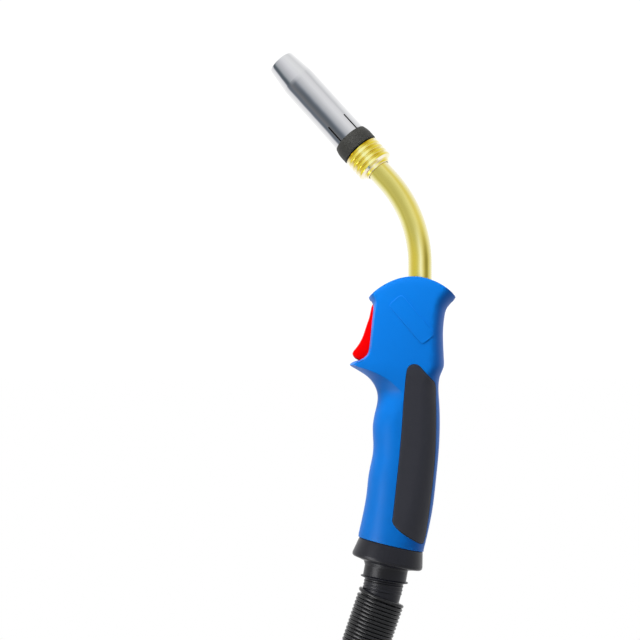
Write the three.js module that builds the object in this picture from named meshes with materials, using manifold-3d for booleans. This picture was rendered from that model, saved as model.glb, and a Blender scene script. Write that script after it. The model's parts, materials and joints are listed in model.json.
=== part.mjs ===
// Gas-cooled MIG welding torch: two-shell handle with soft-grip inlays, hinged
// trigger over a micro switch, brass swan neck with finned head, slotted gas
// nozzle, and a ball-jointed cable outlet with a close-wound bend spring.
// Millimetres. +Z runs up the handle to the neck, the finger side (front) faces
// -X and the left side faces -Y. The neck enters the handle along the Z axis.
import * as THREE from 'three';
import { mergeVertices } from 'three/addons/utils/BufferGeometryUtils.js';
import Module from 'manifold-3d';

const wasm = await Module();
wasm.setup();

// -------------------------------------------------------- shared dimensions
const GAP = 0.3;                    // clearance between separate pieces
const SEAM = 0.12;                  // half of the gap between the shells
const NECK_R = 6.95;                // swan neck outer tube
const CLAMP_R = 8.8;                // clamp around the neck tube
const TRIGGER_HALF = 5.8;           // half width of the trigger
const PIVOT = { x: -23.6, z: -19.2 };
const PIN_R = 1.3;
const PIN_HALF = 10.2;              // half length of the trigger pin
const REAR_TILT_DEG = 13.2;         // rear face axis from vertical
const STEM_TILT_DEG = 9.8;          // cable outlet stem from vertical
const SPRING_TILT_DEG = 18.7;
const BALL_DROP = 7.5;              // ball centre behind the rear face

// nested tubes of the cable, [outer radius, inner radius]
const JACKET = [8.5, 6.9];
const CONDUCTOR = [5.4, 3.9];
const GAS_HOSE = [3.55, 2.6];

// shell screws: place, and floor of the counterbore (the wall slopes at the last three)
const SCREWS = [
  { x: -16, z: -10.5, floor: 13.6 },
  { x: 12.6, z: -14.0, floor: 9.2 },
  { x: -19.5, z: -63.1, floor: 9.2 },
  { x: -25.1, z: -133.3, floor: 9.2 },
];

const MATERIALS = {
  blue: { color: 0x1f7fe0, roughness: 0.48, metalness: 0 },
  rubber: { color: 0x34363b, roughness: 0.8, metalness: 0 },
  red: { color: 0xf4060d, roughness: 0.4, metalness: 0 },
  black: { color: 0x35363a, roughness: 0.6, metalness: 0 },
  brass: { color: 0xcdb64a, roughness: 0.34, metalness: 1 },
  gold: { color: 0xd8b820, roughness: 0.3, metalness: 1 },
  chrome: { color: 0xc9cbd0, roughness: 0.16, metalness: 1 },
  steel: { color: 0x9a9ca0, roughness: 0.4, metalness: 1 },
  copper: { color: 0xc0703c, roughness: 0.35, metalness: 1 },
  ceramic: { color: 0xeae6dc, roughness: 0.5, metalness: 0 },
  spring: { color: 0x2f3135, roughness: 0.4, metalness: 1 },
  nylon: { color: 0xd9d4c4, roughness: 0.5, metalness: 0 },
  jacket: { color: 0x232426, roughness: 0.7, metalness: 0 },
  yellow: { color: 0xd2b22a, roughness: 0.5, metalness: 0 },
};

// ----------------------------------------------------------- meshes and solids
const vec = (x, y, z) => new THREE.Vector3(x, y, z);
const { degToRad, lerp } = THREE.MathUtils;
const torch = new THREE.Group();

// positions only, welded, without collapsed triangles and facing outward
function weld(source) {
  const bare = source.clone();
  for (const name of Object.keys(bare.attributes)) {
    if (name !== 'position') bare.deleteAttribute(name);
  }
  const welded = mergeVertices(bare, 1e-4);
  const position = welded.attributes.position;
  const index = welded.index.array;
  const kept = [];
  const corners = [vec(), vec(), vec()];
  let volume = 0;
  for (let i = 0; i < index.length; i += 3) {
    const triangle = [index[i], index[i + 1], index[i + 2]];
    if (new Set(triangle).size < 3) continue;
    kept.push(...triangle);
    corners.forEach((corner, k) => corner.fromBufferAttribute(position, triangle[k]));
    volume += corners[0].dot(corners[1].cross(corners[2]));
  }
  if (volume < 0) {
    for (let i = 0; i < kept.length; i += 3) {
      [kept[i + 1], kept[i + 2]] = [kept[i + 2], kept[i + 1]];
    }
  }
  welded.setIndex(kept);
  return welded;
}

// geometry as a Manifold; a Manifold passes through
function solid(shape) {
  if (!shape.isBufferGeometry) return shape;
  const welded = weld(shape);
  return new wasm.Manifold(new wasm.Mesh({
    numProp: 3,
    vertProperties: new Float32Array(welded.attributes.position.array),
    triVerts: new Uint32Array(welded.index.array),
  }));
}

const union = (first, ...rest) => rest.reduce((sum, part) => sum.add(solid(part)), solid(first));
const cut = (body, ...tools) => tools.reduce((left, tool) => left.subtract(solid(tool)), solid(body));

function toGeometry(manifold) {
  const mesh = manifold.getMesh();
  const geometry = new THREE.BufferGeometry();
  const positions = new Float32Array(mesh.vertProperties);
  geometry.setAttribute('position', new THREE.BufferAttribute(positions, 3));
  geometry.setIndex(new THREE.BufferAttribute(new Uint32Array(mesh.triVerts), 1));
  return geometry;
}

function addPiece(name, shape, material, parent = torch) {
  const geometry = shape.isBufferGeometry ? weld(shape) : toGeometry(shape);
  geometry.computeVertexNormals();
  const mesh = new THREE.Mesh(geometry, new THREE.MeshStandardMaterial(MATERIALS[material]));
  mesh.name = name;
  parent.add(mesh);
}

// ---------------------------------------------------------------- basic shapes
// solid of revolution about +Z from [radius, height] points
function lathe(profile, segments) {
  const points = profile.map(([radius, z]) => new THREE.Vector2(radius, z));
  return new THREE.LatheGeometry(points, segments).rotateX(Math.PI / 2);
}
const ring = (profile, segments) => lathe([...profile, profile[0]], segments);
const tube = (inner, outer, z0, z1, segments) => (
  ring([[inner, z0], [outer, z0], [outer, z1], [inner, z1]], segments)
);
const rod = (radius, z0, z1, segments) => (
  lathe([[0, z0], [radius, z0], [radius, z1], [0, z1]], segments)
);
// geometry built along +Z, turned to run along +Y through x, z
const alongY = (geometry, x, z) => geometry.rotateX(-Math.PI / 2).translate(x, 0, z);
const barY = (radius, { x, z }, [y0, y1], segments) => alongY(rod(radius, y0, y1, segments), x, z);

function box([x0, x1], [y0, y1], [z0, z1]) {
  return new THREE.BoxGeometry(x1 - x0, y1 - y0, z1 - z0)
    .translate((x0 + x1) / 2, (y0 + y1) / 2, (z0 + z1) / 2);
}

// flat x,z outline extruded and turned so its thickness runs from y = top down
function extrudeY(outline, top, options) {
  const shape = new THREE.Shape(outline.map(([x, z]) => new THREE.Vector2(x, z)));
  return new THREE.ExtrudeGeometry(shape, options).rotateX(Math.PI / 2).translate(0, top, 0);
}
const prismY = (outline, [y0, y1]) => (
  extrudeY(outline, y1, { depth: y1 - y0, bevelEnabled: false })
);

// Y span on one side of the torch: -1 left, 1 right
const onSide = (side, near, far) => (side < 0 ? [-far, -near] : [near, far]);

function circle(radius, sides) {
  return Array.from({ length: sides }, (_, i) => {
    const angle = (2 * Math.PI * i) / sides;
    return new THREE.Vector2(radius * Math.cos(angle), radius * Math.sin(angle));
  });
}

// extrusion path with its own stations: points and unit tangents
class Rail extends THREE.Curve {
  constructor(points, tangents) {
    super();
    this.points = points;
    this.tangents = tangents;
  }

  getSpacedPoints() {
    return this.points.map((point) => point.clone());
  }

  getTangentAt(share) {
    return this.tangents[Math.round(share * (this.points.length - 1))].clone();
  }
}

// round tube along a rail; an inner radius of 0 makes it solid
function sweep(rail, [outer, inner], sides) {
  const shape = new THREE.Shape(circle(outer, sides));
  if (inner > 0) shape.holes.push(new THREE.Path(circle(inner, sides).reverse()));
  const steps = rail.points.length - 1;
  return new THREE.ExtrudeGeometry(shape, { steps, extrudePath: rail, bevelEnabled: false });
}

const smoothCurve = (path) => (
  new THREE.CatmullRomCurve3(path.map((point) => vec(...point)), false, 'centripetal')
);

// rail along part of a curve, start and end as shares of its length
function curveRail(curve, start, end, steps) {
  const points = [], tangents = [];
  for (let i = 0; i <= steps; i++) {
    const share = start + (end - start) * (i / steps);
    points.push(curve.getPointAt(share));
    tangents.push(curve.getTangentAt(share).normalize());
  }
  return new Rail(points, tangents);
}

// --------------------------------------------------------- handle measurements
// Stations are numbered from the rear end (0) to the neck end (34).
// front edge of the handle, [x, z] per station
const FRONT = [
  [-36.2, -152.1], [-35.1, -147.4], [-33.2, -138.9], [-31.4, -130.5], [-31.0, -125.3],
  [-30.7, -118.9], [-29.8, -113.6], [-28.3, -108.4], [-27.2, -104.2], [-27.1, -98.9],
  [-27.8, -92.6], [-28.0, -86.8], [-26.7, -81.0], [-25.1, -75.8], [-24.5, -71.2],
  [-25.2, -67.3], [-26.7, -63.4], [-29.4, -60.1], [-31.9, -58.1], [-35.5, -55.6],
  [-38.4, -53.9], [-40.4, -52.7], [-41.2, -51.7], [-39.8, -50.3], [-37.2, -49.4],
  [-33.3, -48.7], [-31.4, -47.5], [-30.6, -45.1], [-29.9, -41.0], [-28.9, -32.0],
  [-28.1, -24.5], [-27.6, -19.2], [-27.9, -16.0], [-29.3, -13.9], [-30.0, -12.3],
];
// back edge of the handle, [x, z] per station
const BACK = [
  [1.8, -161.7], [3.1, -156.6], [5.3, -147.8], [7.1, -138.4], [8.0, -131.9],
  [8.8, -124.5], [9.4, -118.0], [10.1, -111.8], [10.6, -106.8], [11.1, -100.9],
  [11.4, -94.1], [11.6, -87.9], [11.6, -81.4], [11.3, -75.8], [11.0, -71.2],
  [10.7, -67.3], [10.6, -63.7], [11.0, -60.2], [11.6, -58.3], [12.7, -55.8],
  [13.6, -54.0], [13.9, -52.8], [14.0, -51.9], [14.0, -50.7], [14.0, -49.7],
  [13.9, -49.0], [13.9, -47.8], [13.8, -45.4], [13.5, -41.0], [13.1, -32.0],
  [13.5, -24.5], [15.3, -19.2], [17.6, -16.0], [19.7, -13.9], [20.8, -12.2],
];
// per station: half thickness, front rounding, back rounding, upward bulge
const SECTION = [
  [19.2, 19.6, 19.6, 0], [18.9, 18.8, 18.8, 0], [18.2, 17.5, 17.0, 0], [17.5, 16.2, 15.2, 0],
  [17.2, 15.5, 14.3, 0], [16.9, 15.0, 13.6, 0], [16.7, 14.6, 13.0, 0], [16.5, 14.3, 12.6, 0],
  [16.4, 14.1, 12.3, 0], [16.3, 14.0, 12.0, 0], [16.2, 14.0, 12.0, 0], [16.2, 14.0, 12.0, 0],
  [16.2, 14.0, 12.0, 0], [16.3, 14.0, 11.8, 0], [16.4, 14.2, 11.5, 0], [16.5, 14.5, 11.2, 0],
  [16.6, 10.9, 10.8, 0], [16.8, 7.8, 10.4, 0], [16.9, 6.8, 10.1, 0], [17.0, 6.1, 9.8, 0],
  [17.0, 5.5, 9.6, 0], [17.0, 5.0, 9.4, 0], [17.0, 4.6, 9.3, 0], [17.0, 4.6, 9.2, 0],
  [17.0, 4.8, 9.1, 0], [17.0, 5.0, 9.0, 0], [17.0, 5.0, 9.0, 0], [17.0, 5.0, 8.8, 0],
  [17.0, 5.0, 8.6, 0], [17.0, 5.0, 8.2, 0], [17.0, 5.0, 8.0, 2.6], [17.0, 5.0, 8.0, 5.4],
  [16.9, 5.0, 8.0, 8.8], [16.2, 4.8, 7.6, 11.5], [14.0, 3.6, 6.0, 12.8],
];
// front side of the inner hollow, [station, x]
const HOLLOW = [
  [0, -33.3], [3, -28.6], [5, -28.0], [7, -25.6], [9, -24.5], [11, -25.3],
  [13, -22.4], [14, -22.1], [16, -23.6], [18, -26.5], [20, -27.0], [26, -26.6],
  [28, -26.9], [29, -26.1], [30, -25.4], [31, -24.7], [34, -24.4],
];
// soft-grip inlay outline, [x, z]
const INLAY = [
  [-3.9, -51.2], [-6.4, -51.9], [-8.2, -54.6], [-9.1, -60.5], [-10.6, -78.6],
  [-12.1, -98.5], [-14.0, -117.4], [-15.9, -134.5],
  [-16.7, -141.0], [-16.4, -143.9], [-11.0, -149.5], [-3.1, -154.8],
  [-0.4, -155.7], [1.6, -154.8], [4.3, -144.6], [6.8, -125.7],
  [8.7, -105.6], [9.3, -85.0], [9.1, -65.5], [8.6, -61.7], [5.9, -59.8],
  [0.2, -53.3], [-1.7, -51.9],
];
const SKIN_SKIPPED = [1, 4, 6, 8, 10, 12, 14];   // stations left out of the skin
const SKIN_STATIONS = FRONT.map((_, i) => i).filter((i) => !SKIN_SKIPPED.includes(i));
const HOLLOW_STATIONS = [0, 3, 5, 9, 11, 13, 15, 17, 20, 28, 31, 33];

// ------------------------------------------------------------------ handle loft
function hollowFrontX(station) {
  const next = Math.max(1, HOLLOW.findIndex(([number]) => number >= station));
  const [station0, x0] = HOLLOW[next - 1];
  const [station1, x1] = HOLLOW[next];
  return x0 + (x1 - x0) * ((station - station0) / (station1 - station0));
}

// closed ring of points around the handle at one station, grown by `offset`
function stationRing(station, offset, sides, isHollow, endShift) {
  const [x0, z0] = FRONT[station];
  const [x1, z1] = BACK[station];
  const [halfThickness, frontRounding, backRounding, bulge] = SECTION[station];
  const acrossX = x1 - x0, acrossZ = z1 - z0;
  const across = Math.hypot(acrossX, acrossZ);
  const growX = (acrossX / across) * offset, growZ = (acrossZ / across) * offset;
  let frontX = x0 - growX, frontZ = z0 - growZ, rounding = frontRounding;
  if (isHollow) {
    const share = (hollowFrontX(station) - x0) / acrossX;
    frontX = x0 + acrossX * share;
    frontZ = z0 + acrossZ * share;
    rounding = Math.min(frontRounding, 9);
  }
  const backX = x1 + growX, backZ = z1 + growZ;
  const width = Math.hypot(backX - frontX, backZ - frontZ);
  const fit = (radius) => Math.max(1.5, Math.min(radius + offset, width / 2));
  const taper = (distance, radius) => (
    distance < radius ? Math.sqrt(Math.max(0, 1 - (1 - distance / radius) ** 2)) : 1
  );
  const right = [];
  for (let i = 0; i <= sides; i++) {
    // cosine spacing crowds the points toward both edges
    const share = 0.5 - 0.5 * Math.cos((Math.PI * i) / sides);
    const y = (halfThickness + offset) * taper(share * width, fit(rounding))
      * taper((1 - share) * width, fit(backRounding));
    const arc = 4 * share * (1 - share) * bulge;
    right.push([
      frontX + (backX - frontX) * share,
      y,
      frontZ + (backZ - frontZ) * share + arc + endShift,
    ]);
  }
  const left = right.slice(1, -1).reverse().map(([x, y, z]) => [x, -y, z]);
  return [...right, ...left];
}

// triangles closing the ring that starts at vertex `start`
function capTriangles(start, sides, flipped) {
  const triangles = [];
  for (let i = 0; i < sides; i++) {
    const near = start + i, far = near + 1;
    const nearMirror = start + 2 * sides - i, farMirror = nearMirror - 1;
    if (i > 0) triangles.push([near, i === sides - 1 ? far : nearMirror, nearMirror]);
    if (i === sides - 1) triangles[triangles.length - 1] = [near, nearMirror, far];
    else if (i === 0) triangles.push([near, farMirror, far]);
    else triangles.splice(-1, 1, [near, nearMirror, farMirror], [near, farMirror, far]);
  }
  return triangles.flatMap(([a, b, c]) => (flipped ? [a, c, b] : [a, b, c]));
}

// closed loft through the stations, `sides` steps across each side
function loft(offset, stations, sides, isHollow = false) {
  const last = stations.length - 1, count = 2 * sides;
  const positions = stations.flatMap((station, k) => {
    let endShift = 0;
    if (k === 0) endShift = -offset;
    if (k === last) endShift = offset;
    return stationRing(station, offset, sides, isHollow, endShift).flat();
  });
  const index = [];
  for (let k = 0; k < last; k++) {
    for (let i = 0; i < count; i++) {
      const low = k * count + i, lowNext = k * count + ((i + 1) % count);
      const high = low + count, highNext = lowNext + count;
      index.push(low, lowNext, highNext, low, highNext, high);
    }
  }
  index.push(...capTriangles(0, sides, false), ...capTriangles(last * count, sides, true));
  const geometry = new THREE.BufferGeometry();
  geometry.setAttribute('position', new THREE.BufferAttribute(new Float32Array(positions), 3));
  geometry.setIndex(index);
  return geometry;
}
const skin = (offset) => solid(loft(offset, SKIN_STATIONS, 9));

// -------------------------------------------------------- rear outlet placement
const tiltedDown = (degrees) => (
  vec(-Math.sin(degToRad(degrees)), 0, -Math.cos(degToRad(degrees)))
);
const rearDir = tiltedDown(REAR_TILT_DEG);
const stemDir = tiltedDown(STEM_TILT_DEG);
const springDir = tiltedDown(SPRING_TILT_DEG);
const rearCentre = vec(-17.0, 0, -157.5);
const ballCentre = rearCentre.clone().addScaledVector(rearDir, BALL_DROP);
const springTop = vec(-22.5, 0, -188.1);

// geometry built along +Z, laid along a direction from an origin
function lay(geometry, origin, direction) {
  const turn = new THREE.Quaternion().setFromUnitVectors(vec(0, 0, 1), direction);
  return geometry.applyQuaternion(turn).translate(origin.x, origin.y, origin.z);
}

// ---------------------------------------------------------------- handle shells
const WALL = 3.0;
const POCKET_DEPTH = 1.7;           // pocket for the soft-grip inlay
const FITTING_END = 16.5;           // outer y of the ribs and the pivot boss
const SCREW_BOSS_END = 16.9;
const PIVOT_BOSS_START = 8.9;
const SWITCH_RIB_START = 4.1;
const SWITCH_RIB_Z = [[-30, -28], [-41, -39]];
// blank raised pad on the left side of the head: end points [x, z], half width, y span
const PAD = { upper: [-12.4, -14.9], lower: [3.2, -33.7], half: 4.9, y: [-17.3, -15.2] };

function padOutline() {
  const angle = Math.atan2(PAD.lower[1] - PAD.upper[1], PAD.lower[0] - PAD.upper[0]);
  const halfCircle = ([x, z], start) => Array.from({ length: 7 }, (_, i) => {
    const turn = start + (Math.PI * i) / 6;
    return [x + PAD.half * Math.cos(turn), z + PAD.half * Math.sin(turn)];
  });
  return [
    ...halfCircle(PAD.upper, angle + Math.PI / 2),
    ...halfCircle(PAD.lower, angle - Math.PI / 2),
  ];
}

// bosses and ribs inside one shell
function shellFittings(side) {
  const bossSpan = onSide(side, SEAM, SCREW_BOSS_END);
  const fittings = SCREWS.map((screw) => barY(3.3, screw, bossSpan, 14));
  if (side > 0) {
    for (const screw of SCREWS) {
      fittings.push(barY(4.6, screw, [screw.floor - 1.6, SCREW_BOSS_END], 18));
    }
  }
  fittings.push(barY(3.1, PIVOT, onSide(side, PIVOT_BOSS_START, FITTING_END), 14));
  // saddle rib that carries the neck clamp
  fittings.push(box([-13, 20], onSide(side, SEAM, FITTING_END), [-20, -17.5]));
  // seat for the switch
  for (const zSpan of SWITCH_RIB_Z) {
    fittings.push(box([-19.4, -8.2], onSide(side, SWITCH_RIB_START, FITTING_END), zSpan));
  }
  return union(...fittings);
}

// what both shells lose at the top: neck passage, clamp seat, trigger slot
const topCuts = () => [
  rod(NECK_R + 0.55, -60, 30, 24),
  rod(CLAMP_R + GAP, -25, -7.2, 24),
  box([-70, -21], [-6.7, 6.7], [-50.6, -14.3]),
];

function finishLeft(body) {
  return cut(
    body.add(solid(prismY(padOutline(), PAD.y))),
    ...SCREWS.map((screw) => barY(1.55, screw, [-9.2, 1], 10)),
    barY(PIN_R + 0.2, PIVOT, [-PIN_HALF - GAP, 0], 12),
  );
}

function finishRight(body) {
  return cut(
    body,
    ...SCREWS.flatMap((screw) => [
      barY(1.75, screw, [-1, 30], 10),
      barY(3.45, screw, [screw.floor, 30], 16),
    ]),
    barY(PIN_R + 0.2, PIVOT, [0, PIN_HALF + GAP], 12),
    barY(2.6, PIVOT, [0, PIVOT_BOSS_START - 0.05], 14),
  );
}

function shell(side) {
  const half = solid(box([-80, 60], onSide(side, SEAM, 60), [-220, 40]));
  const inside = skin(-0.6);
  const hollow = loft(-WALL, HOLLOW_STATIONS, 6, true);
  const fittings = shellFittings(side).intersect(inside).intersect(half);
  // ring in the rear mouth that retains the collar
  const stop = solid(lay(tube(14.75, 17.2, -5.2, -3.0, 32), rearCentre, rearDir))
    .intersect(half).intersect(inside);
  const rearMouth = lay(rod(15.9, -9.4, 12, 32), rearCentre, rearDir);
  const pocket = cut(prismY(INLAY, onSide(side, 0.5, 30)), skin(-POCKET_DEPTH));

  let body = cut(skin(0).intersect(half), hollow).add(fittings);
  body = cut(body, ...topCuts(), rearMouth).add(stop);
  body = cut(body, pocket);
  body = side < 0 ? finishLeft(body) : finishRight(body);
  // keep only the largest body
  return body.decompose().sort((p, q) => q.volume() - p.volume())[0];
}

// outline moved toward a centre point, along the normal at each of its points
function insetOutline(outline, [centreX, centreZ], distance) {
  return outline.map(([x, z], i) => {
    const before = outline.at(i - 1), after = outline[(i + 1) % outline.length];
    const alongX = after[0] - before[0], alongZ = after[1] - before[1];
    const length = Math.hypot(alongX, alongZ);
    const normalX = alongZ / length, normalZ = -alongX / length;
    const facesOut = normalX * (centreX - x) + normalZ * (centreZ - z) < 0;
    const step = facesOut ? -distance : distance;
    return [x + normalX * step, z + normalZ * step];
  });
}

// soft-grip inlay, standing a hair proud of its shell
function inlay(side) {
  const outline = insetOutline(INLAY, [-3.2, -103], GAP);
  const body = solid(prismY(outline, onSide(side, 0.6, 30))).intersect(skin(0.25));
  return cut(body, skin(GAP - POCKET_DEPTH));
}

// shell screw, head on the right side
function handleScrew({ x, z, floor }) {
  const seat = floor + GAP;
  return alongY(lathe([
    [0, -8.6], [1.25, -8.6], [1.25, seat], [3.1, seat], [3.1, seat + 1.65],
    [2.6, seat + 2.25], [1.35, seat + 2.25], [1.1, seat + 1.05], [0, seat + 1.05],
  ], 10), x, z);
}

function addHandle() {
  addPiece('handle_left_shell', shell(-1), 'blue');
  addPiece('handle_right_shell', shell(1), 'blue');
  addPiece('grip_inlay_left', inlay(-1), 'rubber');
  addPiece('grip_inlay_right', inlay(1), 'rubber');
  SCREWS.forEach((screw, i) => addPiece(`handle_screw_${i + 1}`, handleScrew(screw), 'steel'));
  addPiece('neck_clamp', tube(NECK_R + 0.5, CLAMP_R, -24.6, -7.6, 24), 'black');
}

// ---------------------------------------------------------------------- trigger
// side outline of the trigger, [x, z]
const TRIGGER = [
  [-28.4, -17.1], [-29.3, -20.7], [-30.1, -24.2], [-31.3, -27.7], [-32.5, -31.3],
  [-33.7, -34.8], [-35.4, -38.4], [-37.3, -41.3], [-39.5, -44.0], [-39.9, -45.1],
  [-39.4, -46.6], [-38.1, -47.9], [-36.0, -48.6], [-33.6, -48.3], [-30.7, -47.2],
  [-27.1, -45.4], [-23.6, -44.3], [-22.35, -43.2], [-22.35, -26.2], [-20.6, -22.6],
  [-20.2, -19.2], [-21.3, -16.3], [-23.8, -15.1], [-26.9, -15.5],
];
const TRIGGER_BEVEL = 0.8;          // bevel across the width
const TRIGGER_BEVEL_IN = 0.7;       // bevel into the outline

function triggerBody() {
  const flatHalf = TRIGGER_HALF - TRIGGER_BEVEL;
  const body = extrudeY(TRIGGER, flatHalf, {
    depth: 2 * flatHalf,
    bevelEnabled: true,
    bevelThickness: TRIGGER_BEVEL,
    bevelSize: TRIGGER_BEVEL_IN,
    bevelOffset: -TRIGGER_BEVEL_IN,
    bevelSegments: 2,
  });
  return cut(body, barY(PIN_R + 0.25, PIVOT, [-9, 9], 14));
}

// torsion return spring on the pin, right of the trigger
function returnSpring() {
  const coil = { radius: 1.9, turns: 2.5, steps: 18, y0: 6.6, length: 1.7 };
  const points = [vec(PIVOT.x + 9, coil.y0, PIVOT.z + 3.6)];
  for (let i = 0; i <= coil.steps; i++) {
    const angle = Math.PI / 2 + (2 * Math.PI * coil.turns * i) / coil.steps;
    points.push(vec(
      PIVOT.x + coil.radius * Math.cos(angle),
      coil.y0 + (coil.length * i) / coil.steps,
      PIVOT.z + coil.radius * Math.sin(angle),
    ));
  }
  points.push(vec(PIVOT.x + 8.5, coil.y0 + coil.length, PIVOT.z - 4.6));
  const tangents = points.map((_, i) => {
    const after = points[Math.min(i + 1, points.length - 1)];
    return after.clone().sub(points[Math.max(i - 1, 0)]).normalize();
  });
  return sweep(new Rail(points, tangents), [0.3, 0], 5);
}

function addTrigger() {
  addPiece('trigger', triggerBody(), 'red');
  addPiece('trigger_pin', barY(PIN_R, PIVOT, [-PIN_HALF, PIN_HALF], 14), 'steel');
  addPiece('trigger_return_spring', returnSpring(), 'steel');
}

// ----------------------------------------------------------------------- switch
// terminals and their leads: x of the terminal, y the lead runs at
const TERMINALS = [
  { key: 'a', x: -15.6, y: -2.2, lead: 'red' },
  { key: 'b', x: -11.4, y: 2.2, lead: 'yellow' },
];

function addSwitch() {
  const body = box([-18.6, -8.9], [-3.8, 3.8], [-42, -27.2]);
  const plungerBore = box([-20, -13.2], [-1.5, 1.5], [-36.5, -33.5]);
  addPiece('switch_body', cut(body, plungerBore), 'black');
  const plunger = solid(box([-22.05, -15.6], [-1.15, 1.15], [-36.1, -33.9]));
  addPiece('switch_plunger', plunger, 'nylon');
  for (const { key, x, y, lead } of TERMINALS) {
    const terminal = box([x - 1.1, x + 1.1], [-0.4, 0.4], [-46.2, -42.3]);
    addPiece(`switch_terminal_${key}`, terminal, 'brass');
    const curve = smoothCurve([
      [x, 0, -46.6], [lerp(x, -12.9, 0.5), y * 0.4, -50],
      [-12.9, y, -56], [-12.7, y, -66], [-14.6, y, -76],
    ]);
    addPiece(`switch_lead_${key}`, sweep(curveRail(curve, 0, 1, 6), [0.8, 0], 6), lead);
  }
}

// -------------------------------------------------------- cable in the handle
// centre line from the nut down to the rear outlet, [x, y, z]
const HANDLE_CABLE_PATH = [
  [0, 0, -48.0], [-0.6, 0, -58], [-3.2, 0, -76], [-6.6, 0, -98],
  [-10.2, 0, -120], [-12.6, 0, -134], [-15.4, 0, -148.5],
];

function addHandleCable() {
  addPiece('cable_nut', tube(6.2, 9.1, -47.4, -39.2, 6), 'brass');
  const curve = smoothCurve(HANDLE_CABLE_PATH);
  // name, radii, start and end share of the path, steps, sides, material
  const parts = [
    ['crimp_ferrule', [6.9, 5.75], 0, 0.16, 2, 16, 'copper'],
    ['handle_cable_jacket', JACKET, 0.2, 1, 4, 16, 'jacket'],
    ['handle_conductor', CONDUCTOR, 0.02, 0.995, 5, 12, 'copper'],
    ['handle_gas_hose', GAS_HOSE, 0, 0.99, 5, 8, 'nylon'],
  ];
  for (const [name, radii, start, end, steps, sides, material] of parts) {
    addPiece(name, sweep(curveRail(curve, start, end, steps), radii, sides), material);
  }
}

// -------------------------------------------------------------------- swan neck
const NECK_BORE_R = 5.6;
const NECK_BEND_R = 72.0;           // centre-line bend radius
const NECK_BEND = degToRad(43.4);
const NECK_TURN = degToRad(21);     // neck turned in the handle at rest
const NECK_BEND_START_Z = 7.4;
const NECK_LOW_Z = -29.5;           // lower end of the tube
const NECK_STRAIGHT = 9.2;          // straight run after the bend

const bendPoint = (angle) => vec(
  -NECK_BEND_R * (1 - Math.cos(angle)),
  0,
  NECK_BEND_START_Z + NECK_BEND_R * Math.sin(angle),
);
const bendTangent = (angle) => vec(-Math.sin(angle), 0, Math.cos(angle));
const headAxis = bendTangent(NECK_BEND);
const headStart = bendPoint(NECK_BEND).addScaledVector(headAxis, NECK_STRAIGHT);

// rail from height `lowZ`, round the bend and `over` past the head's rear
function neckRail(lowZ, over, steps) {
  const points = [vec(0, 0, lowZ)], tangents = [vec(0, 0, 1)];
  for (let i = 0; i <= steps; i++) {
    const angle = (NECK_BEND * i) / steps;
    points.push(bendPoint(angle));
    tangents.push(bendTangent(angle));
  }
  points.push(headStart.clone().addScaledVector(headAxis, over));
  tangents.push(headAxis);
  return new Rail(points, tangents);
}

function addSwanNeck() {
  const neck = new THREE.Group();
  neck.rotation.z = -NECK_TURN;     // the nozzle leans to +Y
  torch.add(neck);
  const outerTube = sweep(neckRail(NECK_LOW_Z, 2.7, 7), [NECK_R, NECK_BORE_R], 20);
  addPiece('swan_neck_tube', outerTube, 'brass', neck);
  addPiece('neck_inner_tube', sweep(neckRail(-36.5, 6.8, 5), [4.6, 3.3], 10), 'copper', neck);
  addPiece('neck_liner', sweep(neckRail(-37.5, 22, 5), [2.3, 1.2], 6), 'steel', neck);
  const ferrule = cut(
    rod(8.6, -38.2, -24.95, 20),
    rod(4.95, -40, -20, 16),
    rod(NECK_R + GAP, NECK_LOW_Z - 0.4, -20, 24),
  );
  addPiece('neck_ferrule', ferrule, 'brass', neck);
  return neck;
}

// ------------------------------------------------------------------------- head
// Heights run along the nozzle from the rear of the finned head.
const HEAD_LEN = 15.9;              // finned part
const FIN = { crestR: 11.4, rootR: 9.6, start: 2.9, pitch: 3.17, crest: 1.5, count: 5 };
const SLEEVE_BORE_R = 7.5;          // inner radius of the insulating ring and sleeve
const RING_END = 26.8;              // front of the insulating ring
const NOZZLE = {
  rear: 23.0, tip: 90.5, radius: 10.2, tipR: 8.1, mouthR: 6.4, boreR: 8.85,
};
const SLOT = { count: 5, turnDeg: 37.5, width: 1.0, start: 20, end: 37.8, depth: 10, radius: 11 };

function neckHead() {
  const profile = [[NECK_R + 0.3, 0], [8.2, 0], [FIN.rootR, 1.3]];
  for (let k = 0; k < FIN.count; k++) {
    const isLast = k === FIN.count - 1;
    const start = FIN.start + FIN.pitch * k;
    const end = isLast ? HEAD_LEN : start + FIN.crest;
    if (k > 0) profile.push([FIN.rootR, start - 0.6]);
    profile.push([FIN.crestR, start], [FIN.crestR, end]);
    if (!isLast) profile.push([FIN.rootR, end + 0.35]);
  }
  profile.push(
    [7.2, HEAD_LEN], [7.2, 40], [5.3, 40], [5.3, 24], [3.0, 23.4],
    [3.0, 8], [4.95, 8], [4.95, 3.2], [NECK_R + 0.3, 3.2],
  );
  return ring(profile, 18);
}

const insulatorRing = () => ring([
  [SLEEVE_BORE_R, HEAD_LEN + GAP], [11.2, HEAD_LEN + GAP], [11.6, 16.9], [11.6, 21.6],
  [11.35, 23.8], [10.75, RING_END - 0.4], [10.6, RING_END], [10.6, 22.4], [SLEEVE_BORE_R, 22.4],
], 24);

function gasDiffuser() {
  const count = 6;
  const holes = Array.from({ length: count }, (_, i) => (
    rod(0.8, 0, 12, 6).rotateY(Math.PI / 2).rotateZ((2 * Math.PI * i) / count).translate(0, 0, 52)
  ));
  return cut(tube(5.45, 7.5, 41.4, 56, 16), union(...holes));
}

// round holder with a hexagonal end, bored for the contact tip
const tipHolder = () => cut(
  union(tube(2.6, 5.0, 24.6, 56.5, 16), tube(2.6, 5.9, 56.3, 62, 6)),
  rod(3.3, 51, 63, 14),
);

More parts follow.
